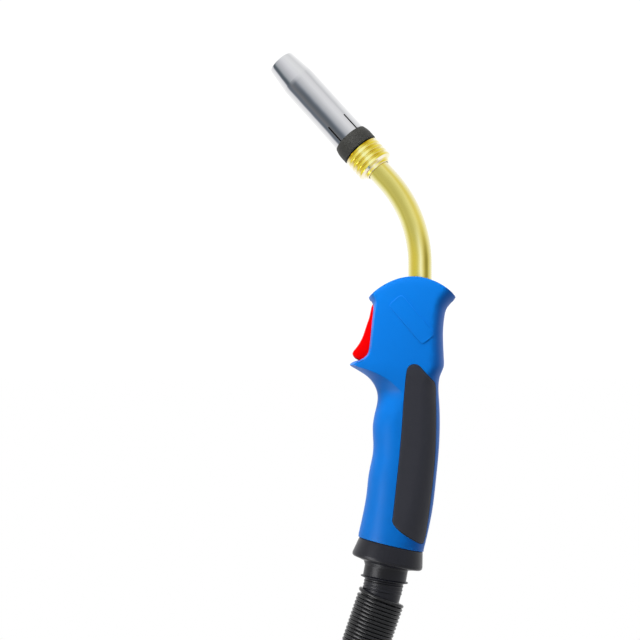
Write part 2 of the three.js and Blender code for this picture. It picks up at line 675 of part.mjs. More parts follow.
const contactTip = () => ring([
  [0.7, 51.4], [2.95, 51.4], [2.95, 62.3], [4.0, 62.3], [4.0, 80.5], [2.9, 85.2], [0.7, 85.2],
], 14);

function gasNozzle() {
  const body = ring([
    [NOZZLE.boreR, NOZZLE.rear], [10.2, NOZZLE.rear], [10.3, 27], [10.25, 36],
    [NOZZLE.radius, 44], [NOZZLE.radius, 72.5], [NOZZLE.tipR + 0.25, 89.0],
    [NOZZLE.tipR, 90.0], [NOZZLE.tipR - 0.5, NOZZLE.tip], [NOZZLE.mouthR, NOZZLE.tip],
    [NOZZLE.mouthR, 84], [8.3, 74], [NOZZLE.boreR, 70],
  ], 28);
  const slots = Array.from({ length: SLOT.count }, (_, i) => (
    new THREE.BoxGeometry(SLOT.depth, SLOT.width, SLOT.end - SLOT.start)
      .translate(SLOT.radius, 0, (SLOT.end + SLOT.start) / 2)
      .rotateZ((2 * Math.PI * i) / SLOT.count + degToRad(SLOT.turnDeg))
  ));
  return cut(body, ...slots);
}

function addHead(neck) {
  const head = new THREE.Group();
  head.position.copy(headStart);
  head.rotation.y = -NECK_BEND;
  neck.add(head);
  addPiece('neck_head', neckHead(), 'gold', head);
  addPiece('insulator_ring', insulatorRing(), 'black', head);
  addPiece('nozzle_seat_sleeve', tube(SLEEVE_BORE_R, 8.55, 22.8, 41, 24), 'black', head);
  addPiece('gas_diffuser', gasDiffuser(), 'ceramic', head);
  addPiece('tip_holder', tipHolder(), 'brass', head);
  addPiece('contact_tip', contactTip(), 'copper', head);
  addPiece('gas_nozzle', gasNozzle(), 'chrome', head);
}

// ------------------------------------------------------------------ rear outlet
const BALL_R = 14.6;
const SOCKET_R = BALL_R + 0.5;
const STEM_R = 12.86;
const FLANGE_R = 14.25;
const STEM_LOW_R = 11.45;
const STEM_BORE_R = 9.0;
const STEM_END = 24.1;              // stem length below the ball centre
const SPRING_R = 14.25;
const SPRING_WIRE = 2.37;           // also the pitch: wound close
const SPRING_TURNS = 25;
const SPRING_LEN = SPRING_WIRE * SPRING_TURNS;
const CABLE_STUB = 26;              // cable beyond the spring

const sphereRadiusAt = (radius, height) => Math.sqrt(radius * radius - height * height);

// collar with a spherical socket, heights along the rear axis from the rear face
function rearCollar() {
  const profile = [
    [12.4, -8.2], [15.3, -8.2], [15.3, -6.4], [14.25, -6.4], [14.25, 0.3], [19.0, 0.3],
    [20.8, 9.6], [20.65, 10.7], [19.9, 11.6], [14.9, 12.5], [14.1, 12.5], [14.2, 12.2],
  ];
  for (const height of [9.5, 6.5, 3, 0.4]) {
    profile.push([sphereRadiusAt(SOCKET_R, height - BALL_DROP), height]);
  }
  profile.push([12.4, -1.2]);
  return lay(ring(profile, 24), rearCentre, rearDir);
}

// ball and flanged stem, heights along the stem from the ball centre
function ballStem() {
  const profile = [[STEM_BORE_R, -11]];
  for (let i = 0; i <= 5; i++) {
    const height = lerp(-11, 6.9, i / 5);
    profile.push([sphereRadiusAt(BALL_R, height), height]);
  }
  profile.push(
    [STEM_R, 12.9], [FLANGE_R - 0.3, 12.9], [FLANGE_R, 13.3], [FLANGE_R, 14.0],
    [FLANGE_R - 0.3, 14.4], [STEM_LOW_R, 14.4], [STEM_LOW_R, STEM_END], [STEM_BORE_R, STEM_END],
  );
  return lay(ring(profile, 22), ballCentre, stemDir);
}

// the wound spring as one sleeve, with a shallow groove every four turns
function bendSpring() {
  const inner = SPRING_R - SPRING_WIRE;
  const profile = [[inner, 0], [SPRING_R - 0.5, 0]];
  for (let i = 0; i < SPRING_TURNS; i += 4) {
    profile.push([SPRING_R, (i + 0.5) * SPRING_WIRE]);
    if (i < SPRING_TURNS - 4) {
      profile.push([SPRING_R, (i + 2) * SPRING_WIRE], [SPRING_R - 0.75, (i + 3) * SPRING_WIRE]);
    }
  }
  profile.push([SPRING_R - 0.5, SPRING_LEN], [inner, SPRING_LEN]);
  return lay(ring(profile, 18), springTop, springDir);
}

// rail from the ball through stem and spring, `extra` past the jacket's end
function outletRail(extra, y) {
  const onStem = (distance) => ballCentre.clone().addScaledVector(stemDir, distance);
  const onSpring = (distance) => springTop.clone().addScaledVector(springDir, distance);
  const points = [
    onStem(2.0),
    onStem(20.5),
    onStem(22.5).add(onSpring(1)).multiplyScalar(0.5),
    onSpring(4),
    onSpring(SPRING_LEN + CABLE_STUB + extra),
  ];
  const middle = stemDir.clone().add(springDir).normalize();
  return new Rail(
    points.map((point) => point.add(vec(0, y, 0))),
    [stemDir, stemDir, middle, springDir, springDir],
  );
}

function addRearOutlet() {
  addPiece('rear_collar', rearCollar(), 'black');
  addPiece('ball_stem', ballStem(), 'black');
  addPiece('bend_spring', bendSpring(), 'spring');
  // name, radii, length past the jacket, y, sides, material
  const parts = [
    ['cable_jacket', JACKET, 0, 0, 20, 'jacket'],
    ['cable_conductor', CONDUCTOR, 0, 0, 14, 'copper'],
    ['cable_gas_hose', GAS_HOSE, 1.5, 0, 10, 'nylon'],
    ['wire_liner', [2.25, 1.2], 3.0, 0, 8, 'steel'],
    ['control_core_a', [0.58, 0], 0.6, -6.15, 6, 'red'],
    ['control_core_b', [0.58, 0], 0.6, 6.15, 6, 'yellow'],
  ];
  for (const [name, radii, extra, y, sides, material] of parts) {
    addPiece(name, sweep(outletRail(extra, y), radii, sides), material);
  }
}

// --------------------------------------------------------------------- assembly
addHandle();
addTrigger();
addSwitch();
addHandleCable();
addHead(addSwanNeck());
addRearOutlet();

// the origin sits under the middle of the torch, at its lowest point
torch.updateMatrixWorld(true);
const { min, max } = new THREE.Box3().setFromObject(torch, true);
torch.position.set(-(min.x + max.x) / 2, -(min.y + max.y) / 2, -min.z);
const model = new THREE.Group();
model.add(torch);

export default model;
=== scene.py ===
"""Swan-neck welding torch standing upright.

Pieces are drawn in millimetres from a design origin on the neck axis at the handle's top.
z runs up the neck and the handle hangs below. The trigger and the nozzle are at the front
(-x), the left shell is on -y, facing the camera. At its lower end the handle carries a collar,
a ball outlet, a bend spring and the cable.
"""
import json
import math
import bmesh
import bpy
import numpy as np
from mathutils import Matrix, Quaternion, Vector


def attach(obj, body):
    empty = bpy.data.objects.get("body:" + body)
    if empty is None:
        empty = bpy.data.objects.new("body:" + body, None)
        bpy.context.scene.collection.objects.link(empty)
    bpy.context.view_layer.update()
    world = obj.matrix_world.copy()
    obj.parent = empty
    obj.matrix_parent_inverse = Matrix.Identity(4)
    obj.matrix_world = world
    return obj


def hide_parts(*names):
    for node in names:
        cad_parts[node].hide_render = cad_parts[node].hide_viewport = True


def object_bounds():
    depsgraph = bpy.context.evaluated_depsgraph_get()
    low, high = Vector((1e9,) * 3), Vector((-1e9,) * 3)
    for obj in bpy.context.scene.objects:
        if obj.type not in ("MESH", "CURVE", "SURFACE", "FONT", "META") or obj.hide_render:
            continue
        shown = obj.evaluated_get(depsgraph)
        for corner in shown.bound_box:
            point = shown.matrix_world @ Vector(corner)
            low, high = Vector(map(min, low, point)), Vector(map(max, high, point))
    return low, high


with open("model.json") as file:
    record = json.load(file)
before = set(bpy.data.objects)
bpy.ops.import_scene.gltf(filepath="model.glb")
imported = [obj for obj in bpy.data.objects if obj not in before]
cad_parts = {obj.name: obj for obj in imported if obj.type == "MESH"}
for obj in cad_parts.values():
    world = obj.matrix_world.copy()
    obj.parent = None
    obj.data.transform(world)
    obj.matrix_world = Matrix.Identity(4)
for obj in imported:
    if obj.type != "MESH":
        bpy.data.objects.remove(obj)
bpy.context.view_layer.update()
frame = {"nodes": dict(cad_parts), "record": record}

RECORD = frame["record"]
JOINTS = {joint["name"]: joint for joint in RECORD["behaviour"]["joints"]}
SLOT_OF = {part["node"]: part["material_slot"] for part in RECORD["subparts"]}
BODY_OF = {node: body for body, nodes in RECORD["behaviour"]["bodies"].items() for node in nodes}
MM = 0.001
ORIGIN = Vector(JOINTS["neck_turn"]["pos_m"]) * 1000.0


# ------------------------------------------------------------------ layout
def joint_at(name):
    return Vector(JOINTS[name]["pos_m"]) * 1000.0 - ORIGIN


def joint_axis(name):
    return Vector(JOINTS[name]["axis"]).normalized()


def hanging(lean):
    """Unit vector pointing down, leaning forward by `lean` degrees."""
    return Vector((-math.sin(math.radians(lean)), 0, -math.cos(math.radians(lean))))


def frame_along(origin, direction):
    """Matrix of a frame at origin whose z runs along direction."""
    turn = Vector((0, 0, 1)).rotation_difference(direction)
    return Matrix.Translation(origin) @ turn.to_matrix().to_4x4()


def turned(degrees, axis):
    return Matrix.Rotation(math.radians(degrees), 4, axis)


def to_scene(point):
    """Design millimetres to scene metres."""
    return (Vector(point) + ORIGIN) * MM


NOZZLE_DIR = joint_axis("nozzle_pull")
PIVOT = joint_at("trigger_pull")
STEM_DIR = hanging(9.8)
SPRING_DIR = hanging(18.7)
SPRING_TOP = Vector((-22.5, 0, -188.1))

BEND_RADIUS = 72.0      # of the neck's centre line
BEND_START = 7.4        # height where the bend begins
NECK_STRAIGHT = 9.2     # straight run between the bend and the head
BEND = math.acos(NOZZLE_DIR.z)
NECK_FRAME = Matrix.Rotation(-math.atan2(NOZZLE_DIR.y, -NOZZLE_DIR.x), 4, 'Z')
BEND_END = Vector((-BEND_RADIUS * (1 - math.cos(BEND)), 0,
                   BEND_START + BEND_RADIUS * math.sin(BEND)))
NECK_DIR = Vector((-math.sin(BEND), 0, math.cos(BEND)))
HEAD_FRAME = (NECK_FRAME @ Matrix.Translation(BEND_END + NECK_DIR * NECK_STRAIGHT)
              @ Matrix.Rotation(-BEND, 4, 'Y'))
REAR_FRAME = frame_along(joint_at("collar_turn"), joint_axis("collar_turn"))
STEM_FRAME = frame_along(joint_at("outlet_tilt"), STEM_DIR)
SPRING_FRAME = frame_along(SPRING_TOP, SPRING_DIR)


# ------------------------------------------------------------------ shader nodes
def empty_tree(owner):
    owner.use_nodes = True
    owner.node_tree.nodes.clear()
    return owner.node_tree


def add_node(tree, kind, inputs=None, **settings):
    """Add a node. A socket or node among the inputs is linked (a node by its first output)."""
    node = tree.nodes.new("ShaderNode" + kind)
    for key, value in settings.items():
        setattr(node, key, value)
    for key, value in (inputs or {}).items():
        if isinstance(value, bpy.types.Node):
            value = value.outputs[0]
        if isinstance(value, bpy.types.NodeSocket):
            tree.links.new(value, node.inputs[key])
        else:
            node.inputs[key].default_value = value
    return node


def add_noise(tree, coords, scale, detail):
    return add_node(tree, "TexNoise", {"Vector": coords, "Scale": scale, "Detail": detail})


def add_range(tree, value, source=(0, 1), result=(0, 1), smooth=False):
    """Map `value` from the source range to the result range."""
    inputs = {"Value": value, "From Min": source[0], "From Max": source[1],
              "To Min": result[0], "To Max": result[1]}
    return add_node(tree, "MapRange", inputs,
                    interpolation_type="SMOOTHSTEP" if smooth else "LINEAR")


def add_math(tree, operation, first, second):
    return add_node(tree, "Math", {0: first, 1: second}, operation=operation)


def add_ramp(tree, factor, stops):
    """Colour ramp; stops are (position, colour), lowest position first."""
    ramp = add_node(tree, "ValToRGB", {0: factor})
    elements = ramp.color_ramp.elements
    while len(elements) > 1:
        elements.remove(elements[-1])
    elements[0].position = stops[0][0]
    elements[0].color = (*stops[0][1], 1)
    for position, colour in stops[1:]:
        elements.new(position).color = (*colour, 1)
    return ramp


# ------------------------------------------------------------------ materials
WHITE = (1.0, 1.0, 1.0)
# slot: material name, base colour, metallic, specular,
#       (roughness, its spread), (darkest share of the colour, scale of the variation),
#       (bump strength, bump scale), rubbed edge as (colour, amount) or None
MATERIALS = {
    "blue_nylon": ("blue_nylon", (0.0006, 0.156, 0.585), 0, 0.14,
                   (0.44, 0.08), (0.94, 14), (0.2, 2600), ((0.06, 0.30, 0.76), 0.35)),
    "soft_grip": ("soft_grip", (0.0128, 0.0135, 0.0200), 0, 0.36,
                  (0.62, 0.1), (0.85, 25), (0.35, 2400), ((0.09, 0.09, 0.10), 0.4)),
    "red_plastic": ("trigger_red", (0.82, 0.0, 0.0004), 0, 0.05,
                    (0.38, 0.06), (0.95, 20), (0.08, 1800), ((0.85, 0.01, 0.01), 0.2)),
    "black_plastic": ("black_moulding", (0.010, 0.0105, 0.0155), 0, 0.22,
                      (0.34, 0.14), (0.8, 30), (0.16, 2200), ((0.09, 0.09, 0.09), 0.5)),
    "insulator": ("ring_resin", (0.0150, 0.0150, 0.0132), 0, 0.3,
                  (0.5, 0.06), (0.85, 60), (0.05, 1900), ((0.05, 0.05, 0.045), 0.15)),
    "tube_brass": ("tube_brass", WHITE, 1, 0.5, (0.24, 0.08), (0.9, 60), (0.12, 1500), None),
    "head_brass": ("head_brass", WHITE, 1, 0.5, (0.16, 0.05), (0.92, 90), (0.015, 900), None),
    "plated_steel": ("nozzle_plating", WHITE, 1, 0.5,
                     (0.07, 0.03), (0.94, 40), (0.02, 900), None),
    "steel": ("zinc_steel", (0.52, 0.53, 0.55), 1, 0.5,
              (0.3, 0.12), (0.75, 80), (0.2, 1600), ((0.75, 0.75, 0.76), 0.5)),
    "spring_steel": ("spring_black", (0.005, 0.0052, 0.0065), 0, 0.26,
                     (0.22, 0.10), (0.75, 120), (0.12, 1800), ((0.2, 0.2, 0.21), 0.4)),
    "copper": ("bare_copper", (0.74, 0.36, 0.19), 1, 0.5,
               (0.3, 0.12), (0.72, 120), (0.15, 1600), ((0.85, 0.52, 0.34), 0.5)),
    "ceramic": ("white_ceramic", (0.80, 0.77, 0.70), 0, 0.5,
                (0.5, 0.12), (0.93, 80), (0.2, 1800), ((0.9, 0.88, 0.84), 0.3)),
    "nylon_natural": ("natural_nylon", (0.70, 0.66, 0.54), 0, 0.5,
                      (0.45, 0.12), (0.9, 60), (0.12, 1500), ((0.8, 0.78, 0.7), 0.3)),
    "cable_rubber": ("cable_rubber", (0.012, 0.012, 0.013), 0, 0.5,
                     (0.6, 0.12), (0.8, 40), (0.3, 2600), ((0.07, 0.07, 0.07), 0.5)),
    "core_red": ("core_red", (0.62, 0.015, 0.015), 0, 0.5,
                 (0.45, 0.12), (0.85, 80), (0.1, 1500), ((0.7, 0.1, 0.1), 0.3)),
    "core_yellow": ("core_yellow", (0.72, 0.48, 0.03), 0, 0.5,
                    (0.45, 0.12), (0.85, 80), (0.1, 1500), ((0.8, 0.6, 0.2), 0.3)),
}
BUMP_DEPTH = 0.00012    # metres


def rubbed_edges(tree, coords, colour, edge, amount):
    """Mix the edge colour in, unevenly, where the mesh is pointed."""
    points = add_node(tree, "NewGeometry").outputs["Pointiness"]
    pointed = add_ramp(tree, points, [(0.53, (0, 0, 0)), (0.62, WHITE)])
    uneven = add_math(tree, "MULTIPLY", pointed, add_noise(tree, coords, scale=420, detail=3))
    factor = add_math(tree, "MULTIPLY", uneven, amount)
    return add_node(tree, "MixRGB", {0: factor, 1: colour, 2: (*edge, 1)})


def material(name, base, metallic, specular, gloss, variation, texture, edge):
    """Surface with colour variation, fine bump, uneven roughness and rubbed edges."""
    look = bpy.data.materials.new(name)
    tree = empty_tree(look)
    coords = add_node(tree, "TexCoord").outputs["Object"]
    darkest, variation_scale = variation
    patches = add_noise(tree, coords, variation_scale, detail=6)
    colour = add_ramp(tree, patches, [(0.15, [part * darkest for part in base]), (0.85, base)])
    if edge:
        colour = rubbed_edges(tree, coords, colour, *edge)
    rough, spread = gloss
    roughness = add_range(tree, add_noise(tree, coords, scale=260, detail=4),
                          result=(rough - spread / 2, rough + spread / 2))
    strength, bump_scale = texture
    if name == "soft_grip":     # the only cellular grain
        height = add_node(tree, "TexVoronoi", {"Vector": coords, "Scale": bump_scale})
    else:
        height = add_noise(tree, coords, bump_scale, detail=3)
    bump = add_node(tree, "Bump",
                    {"Strength": strength, "Distance": BUMP_DEPTH, "Height": height})
    surface = add_node(tree, "BsdfPrincipled", {
        "Base Color": colour, "Metallic": metallic, "Specular IOR Level": specular,
        "Roughness": roughness, "Normal": bump})
    add_node(tree, "OutputMaterial", {0: surface})
    return look


LOOKS = {slot: material(*values) for slot, values in MATERIALS.items()}

# ------------------------------------------------------------------ painted reflections
# Brightness of the room against the y of a direction: (y, brightness)
SKY = ((-1.0, 0.96), (-0.5, 0.96), (-0.1, 1.0), (0.2, 1.05), (1.0, 1.08))

# Bands seen across a round piece: offset (-1 to 1 over its width), red, green, blue (0-255)
BARREL = [
    (-1, 252, 252, 253), (-0.93, 236, 236, 237), (-0.86, 225, 225, 227), (-0.78, 219, 219, 222),
    (-0.75, 205, 205, 209), (-0.70, 128, 132, 140), (-0.66, 97, 104, 113),
    (-0.58, 102, 108, 116), (-0.5, 112, 113, 118), (-0.42, 104, 106, 110), (-0.34, 93, 98, 104),
    (-0.24, 92, 98, 106), (-0.17, 106, 112, 120), (-0.10, 136, 141, 149), (-0.03, 161, 164, 170),
    (0.05, 176, 178, 183), (0.14, 187, 189, 193), (0.26, 203, 204, 208), (0.40, 216, 217, 220),
    (0.55, 215, 215, 218), (0.64, 208, 208, 211), (0.70, 196, 197, 200), (0.76, 205, 206, 209),
    (0.83, 220, 221, 223), (0.92, 231, 231, 233), (1, 252, 252, 253)]
TAPER = [
    (-1, 252, 252, 253), (-0.92, 236, 236, 238), (-0.82, 226, 226, 229), (-0.74, 214, 215, 219),
    (-0.68, 120, 124, 132), (-0.63, 84, 90, 98), (-0.54, 84, 93, 100), (-0.48, 110, 116, 121),
    (-0.40, 152, 156, 162), (-0.30, 169, 172, 177), (-0.15, 184, 185, 190), (0.0, 198, 199, 204),
    (0.2, 213, 214, 218), (0.45, 219, 220, 222), (0.62, 215, 216, 218), (0.74, 209, 210, 212),
    (0.86, 224, 224, 226), (0.94, 238, 239, 240), (1, 253, 253, 254)]
TUBE_LOW = [
    (-1, 246, 242, 215), (-0.86, 235, 224, 148), (-0.72, 213, 197, 100), (-0.59, 206, 187, 79),
    (-0.46, 205, 188, 75), (-0.33, 206, 191, 83), (-0.2, 210, 198, 104), (-0.07, 229, 220, 148),
    (0.05, 246, 241, 185), (0.18, 232, 222, 145), (0.33, 196, 181, 94), (0.46, 154, 140, 58),
    (0.59, 146, 136, 57), (0.72, 206, 193, 103), (0.86, 231, 222, 158), (1, 249, 246, 220)]
TUBE_TOP = [
    (-1, 248, 245, 225), (-0.86, 240, 233, 178), (-0.72, 214, 206, 122), (-0.59, 184, 174, 85),
    (-0.46, 190, 180, 93), (-0.33, 186, 177, 92), (-0.2, 190, 181, 97), (-0.07, 201, 193, 108),
    (0.08, 213, 204, 120), (0.2, 223, 213, 127), (0.33, 220, 207, 116), (0.46, 214, 198, 98),
    (0.59, 217, 201, 103), (0.72, 226, 215, 134), (0.86, 236, 226, 170), (1, 252, 248, 232)]
FINS = [
    (-1, 250, 246, 228), (-0.9, 238, 226, 180), (-0.8, 208, 190, 70), (-0.72, 232, 212, 66),
    (-0.6, 206, 188, 66), (-0.48, 212, 196, 72), (-0.36, 226, 212, 90), (-0.22, 236, 220, 106),
    (-0.08, 252, 244, 168), (0.08, 246, 236, 160), (0.24, 240, 230, 136), (0.36, 218, 206, 90),
    (0.5, 206, 184, 66), (0.62, 208, 188, 58), (0.74, 222, 203, 66), (0.86, 230, 214, 120),
    (1, 248, 244, 220)]
PALE = [
    (-1, 246, 240, 222), (-0.7, 214, 196, 150), (-0.45, 196, 176, 132), (-0.2, 226, 212, 172),
    (0.0, 246, 236, 204), (0.2, 228, 214, 170), (0.45, 198, 178, 134), (0.7, 224, 208, 166),
    (1, 250, 246, 232)]


def band_stops(band, lean, across, facing, axis, gain):
    """Ramp stops of a band; lean is how far its mirrored directions tip along the axis."""
    stops = []
    for offset, *tone in band:
        angle = 2 * math.asin(offset)
        seen = (across * math.sin(angle) + facing * math.cos(angle)) * math.sqrt(1 - lean * lean)
        sky = np.interp((seen + axis * lean).y, *zip(*SKY))
        colour = [min(1.0, ((level * gain / 255) ** 2.2) / sky) for level in tone]
        stops.append((angle / (2 * math.pi) + 0.5, colour))
    return stops


def paint_reflections(slot, across, facing, axis, bands, blend, by_height=False, gain=1.0):
    """Tint a polished piece with what it would mirror.

    bands: two (band, lean). They blend over the range `blend` of the mirrored direction's
    part along the axis or, by_height, of the scene height.
    """
    tree = LOOKS[slot].node_tree
    base_input = tree.nodes["Principled BSDF"].inputs["Base Color"]
    plain = base_input.links[0].from_socket
    coords = add_node(tree, "TexCoord").outputs

    def mirrored_along(direction):
        return add_node(tree, "VectorMath", {0: coords["Reflection"], 1: tuple(direction)},
                        operation="DOT_PRODUCT").outputs["Value"]

    angle = add_math(tree, "ARCTAN2", mirrored_along(across), mirrored_along(facing))
    place_across = add_range(tree, angle, source=(-math.pi, math.pi))
    # faint unevenness so the bands are not ruler-straight
    wobble = add_range(tree, add_noise(tree, coords["Object"], scale=160, detail=4),
                       result=(-0.009, 0.009))
    position = add_math(tree, "ADD", place_across, wobble)
    ramps = [add_ramp(tree, position, band_stops(band, lean, across, facing, axis, gain))
             for band, lean in bands]
    if by_height:
        driver = add_node(tree, "SeparateXYZ", {0: coords["Object"]}).outputs["Z"]
    else:
        driver = mirrored_along(axis)
    factor = add_range(tree, driver, source=blend, smooth=True)
    mixed = add_node(tree, "MixRGB", {0: factor, 1: ramps[0], 2: ramps[1]})
    tinted = add_node(tree, "MixRGB", {0: 1, 1: mixed, 2: plain}, blend_type="MULTIPLY")
    tree.links.new(tinted.outputs[0], base_input)


EYE = Vector((-0.0246, -1.9, 0.247))    # metres, where the bands are meant to be seen from
to_eye = (EYE - (ORIGIN + HEAD_FRAME @ Vector((0, 0, 55))) * MM).normalized()
eye_facing = (to_eye - NOZZLE_DIR * to_eye.dot(NOZZLE_DIR)).normalized()
eye_lean = -to_eye.dot(NOZZLE_DIR)
HEAD_VIEW = (NOZZLE_DIR.cross(eye_facing), eye_facing, NOZZLE_DIR)
TUBE_VIEW = (Vector((1, 0, 0)), Vector((0, -1, 0)), Vector((0, 0, 1)))
paint_reflections("plated_steel", *HEAD_VIEW, [(BARREL, eye_lean), (TAPER, eye_lean)],
                  blend=(eye_lean + 0.03, eye_lean + 0.12))
paint_reflections("head_brass", *HEAD_VIEW, [(FINS, eye_lean), (PALE, -0.6)],
                  blend=(-0.45, -0.75), gain=1.045)
paint_reflections("tube_brass", *TUBE_VIEW, [(TUBE_LOW, 0.0), (TUBE_TOP, 0.0)],
                  blend=(ORIGIN.z * MM + 0.008, ORIGIN.z * MM + 0.034),
                  by_height=True, gain=1.02)


# ------------------------------------------------------------------ mesh tools
def finish_mesh(piece, angle=38, merge=0.0):
    """Merge close vertices, shade smooth and mark edges sharper than `angle`."""
    mesh = piece.data
    bm = bmesh.new()
    bm.from_mesh(mesh)
    if merge:
        bmesh.ops.remove_doubles(bm, verts=bm.verts, dist=merge * MM)
    bmesh.ops.recalc_face_normals(bm, faces=bm.faces)
    limit = math.radians(angle)
    for face in bm.faces:
        face.smooth = True
    for edge in bm.edges:
        edge.smooth = not (len(edge.link_faces) == 2 and edge.calc_face_angle(0) > limit)
    bm.to_mesh(mesh)
    bm.free()
    mesh.update()


def make(name, verts, faces, mat=None, angle=38, matrix=None, merge=0.0):
    """Mesh object from millimetre points, in the design frame or in the frame `matrix`."""
    points = [Vector(vert) for vert in verts]
    if matrix is not None:
        points = [matrix @ point for point in points]
    mesh = bpy.data.meshes.new(name)
    mesh.from_pydata([tuple(to_scene(point)) for point in points], [], faces)
    piece = bpy.data.objects.new(name, mesh)
    bpy.context.scene.collection.objects.link(piece)
    if mat is not None:
        mesh.materials.append(mat)
    finish_mesh(piece, angle, merge)
    return piece


def drop(piece):
    mesh = piece.data
    bpy.data.objects.remove(piece)
    bpy.data.meshes.remove(mesh)


def boolean(piece, tool, operation="DIFFERENCE", keep=False):
    """Apply a boolean to piece; the tool is removed unless kept."""
    modifier = piece.modifiers.new("cut", "BOOLEAN")
    modifier.operation = operation
    modifier.object = tool
    modifier.solver = "EXACT"
    depsgraph = bpy.context.evaluated_depsgraph_get()
    depsgraph.update()
    mesh = bpy.data.meshes.new_from_object(piece.evaluated_get(depsgraph))
    piece.modifiers.clear()
    old = piece.data
    piece.data = mesh
    bpy.data.meshes.remove(old)
    if not keep:
        drop(tool)


placed_nodes = set()


def place(piece, node):
    """Let the piece stand in for a CAD node and move with its body."""
    if not piece.data.materials:
        piece.data.materials.append(LOOKS[SLOT_OF[node]])
    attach(piece, BODY_OF[node])
    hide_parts(node)
    placed_nodes.add(node)


def band_faces(rings, count, closed=False, start=0):
    """Quads between neighbouring rings of `count` vertices; closed joins last to first."""
    faces = []
    for k in range(rings if closed else rings - 1):
        low = start + k * count
        high = start + (k + 1) % rings * count
        for i in range(count):
            j = (i + 1) % count
            faces.append((low + i, low + j, high + j, high + i))
    return faces


def cap_faces(rings, count, start=0):
    """One polygon over the first ring and one over the last."""
    last = start + (rings - 1) * count
    return [tuple(range(start + count - 1, start - 1, -1)), tuple(range(last, last + count))]


def fillet(points, default=0.0, steps=4, radii=None):
    """Round the corners of a closed (radius, z) profile; radii overrides by index."""
    rounded = []
    for i, point in enumerate(points):
        radius = (radii or {}).get(i, default)
        corner = Vector(point)
        back = Vector(points[i - 1]) - corner
        ahead = Vector(points[(i + 1) % len(points)]) - corner
        if radius <= 0 or back.length < 1e-6 or ahead.length < 1e-6:
            rounded.append(tuple(point))
            continue
        back_dir, ahead_dir = back.normalized(), ahead.normalized()
        angle = back_dir.angle(ahead_dir, math.pi)
        if angle > math.pi - 0.05:      # nearly straight
            rounded.append(tuple(point))
            continue
        reach = min(radius / math.tan(angle / 2), back.length * 0.48, ahead.length * 0.48)
        start, end = corner + back_dir * reach, corner + ahead_dir * reach
        for k in range(steps + 1):
            s = k / steps
            spot = start * (1 - s) ** 2 + corner * 2 * s * (1 - s) + end * s * s
            rounded.append((spot.x, spot.y))
    return rounded


def lathe(name, profile, matrix, mat=None, seg=96, angle=38, closed=True):
    """Turn a (radius, z) profile about z; a zero radius makes a pole."""
    verts, faces, rows = [], [], []
    for radius, z in profile:
        first = len(verts)
        if radius < 1e-6:
            verts.append((0, 0, z))
            rows.append([first] * seg)
        else:
            verts += [(x, y, z) for x, y in circle(radius, seg)]
            rows.append(list(range(first, first + seg)))
    for k in range(len(rows) if closed else len(rows) - 1):
        low, high = rows[k], rows[(k + 1) % len(rows)]
        for i in range(seg):
            j = (i + 1) % seg
            face = list(dict.fromkeys([low[i], low[j], high[j], high[i]]))
            if len(face) > 2:
                faces.append(face)
    return make(name, verts, faces, mat, angle, matrix)


def frames_on(path):
    """Parallel-transport frames (point, along, side, up) on a list of points."""
    last = len(path) - 1
    tangents = [(path[min(i + 1, last)] - path[max(i - 1, 0)]).normalized()
                for i in range(len(path))]
    start = tangents[0]
    side = start.orthogonal().normalized()
    if abs(start.y) < 0.9:
        side = (Vector((0, 1, 0)) - start * start.y).normalized()
    frames = []
    for i, along in enumerate(tangents):
        if i:
            side = tangents[i - 1].rotation_difference(along) @ side
        side = (side - along * side.dot(along)).normalized()
        frames.append((path[i], along, side, along.cross(side)))
    return frames


def travelled(frames):
    """Distance along the path at each frame."""
    distances = [0]
    for before, after in zip(frames, frames[1:]):
        distances.append(distances[-1] + (after[0] - before[0]).length)
    return distances


def polar(path_frame, radius, angle):
    """Point at a radius and angle across a path frame."""
    centre, _, side, up = path_frame
    return centre + side * (radius * math.cos(angle)) + up * (radius * math.sin(angle))


def ring(path_frame, radius, count, phase=0.0):
    return [polar(path_frame, radius, 2 * math.pi * i / count + phase) for i in range(count)]


def circle(radius, count):
    angles = [2 * math.pi * i / count for i in range(count)]
    return [(radius * math.cos(angle), radius * math.sin(angle)) for angle in angles]


def pipe(name, path, outer, inner, mat=None, seg=48, matrix=None, edge=0.25):
    """Tube along a path with softened rims; an inner radius of 0 makes it solid."""
    frames = frames_on(path)
    first, last = frames[0], frames[-1]
    # (frame, radius, distance moved back along the path)
    runs = [(first, outer - edge, 0), (first, outer - edge * 0.3, -edge * 0.3),
            (first, outer, -edge)]
    runs += [(middle, outer, 0) for middle in frames[1:-1]]
    runs += [(last, outer, edge), (last, outer - edge * 0.3, edge * 0.3),
             (last, outer - edge, 0)]
    if inner > 0:
        runs += [(last, inner + edge * 0.6, 0), (last, inner, edge * 0.6)]
        runs += [(middle, inner, 0) for middle in frames[-2:0:-1]]
        runs += [(first, inner, -edge * 0.6), (first, inner + edge * 0.6, 0)]
    verts = []
    for (point, along, side, up), radius, back in runs:
        verts += ring((point - along * back, along, side, up), radius, seg)
    faces = band_faces(len(runs), seg, closed=inner > 0)
    if inner <= 0:
        faces += cap_faces(len(runs), seg)
    return make(name, verts, faces, mat, matrix=matrix)


def prism(name, ends, matrix=None):
    """Solid between two matching rings of points."""
    count = len(ends[0])
    faces = band_faces(2, count) + cap_faces(2, count)
    return make(name, ends[0] + ends[1], faces, matrix=matrix)


def prism_y(name, outline, ys):
    """An (x, z) outline drawn out along y."""
    return prism(name, [[(x, y, z) for x, z in outline] for y in ys])


def bar_y(name, radius, x, z, ys, seg=40):
    """Round bar along y."""
    return prism_y(name, [(x + dx, z + dz) for dx, dz in circle(radius, seg)], ys)


def rod(name, radius, zs, matrix=None, seg=64):
    """Round bar along z of the frame `matrix`."""
    return prism(name, [[(x, y, z) for x, y in circle(radius, seg)] for z in zs], matrix)


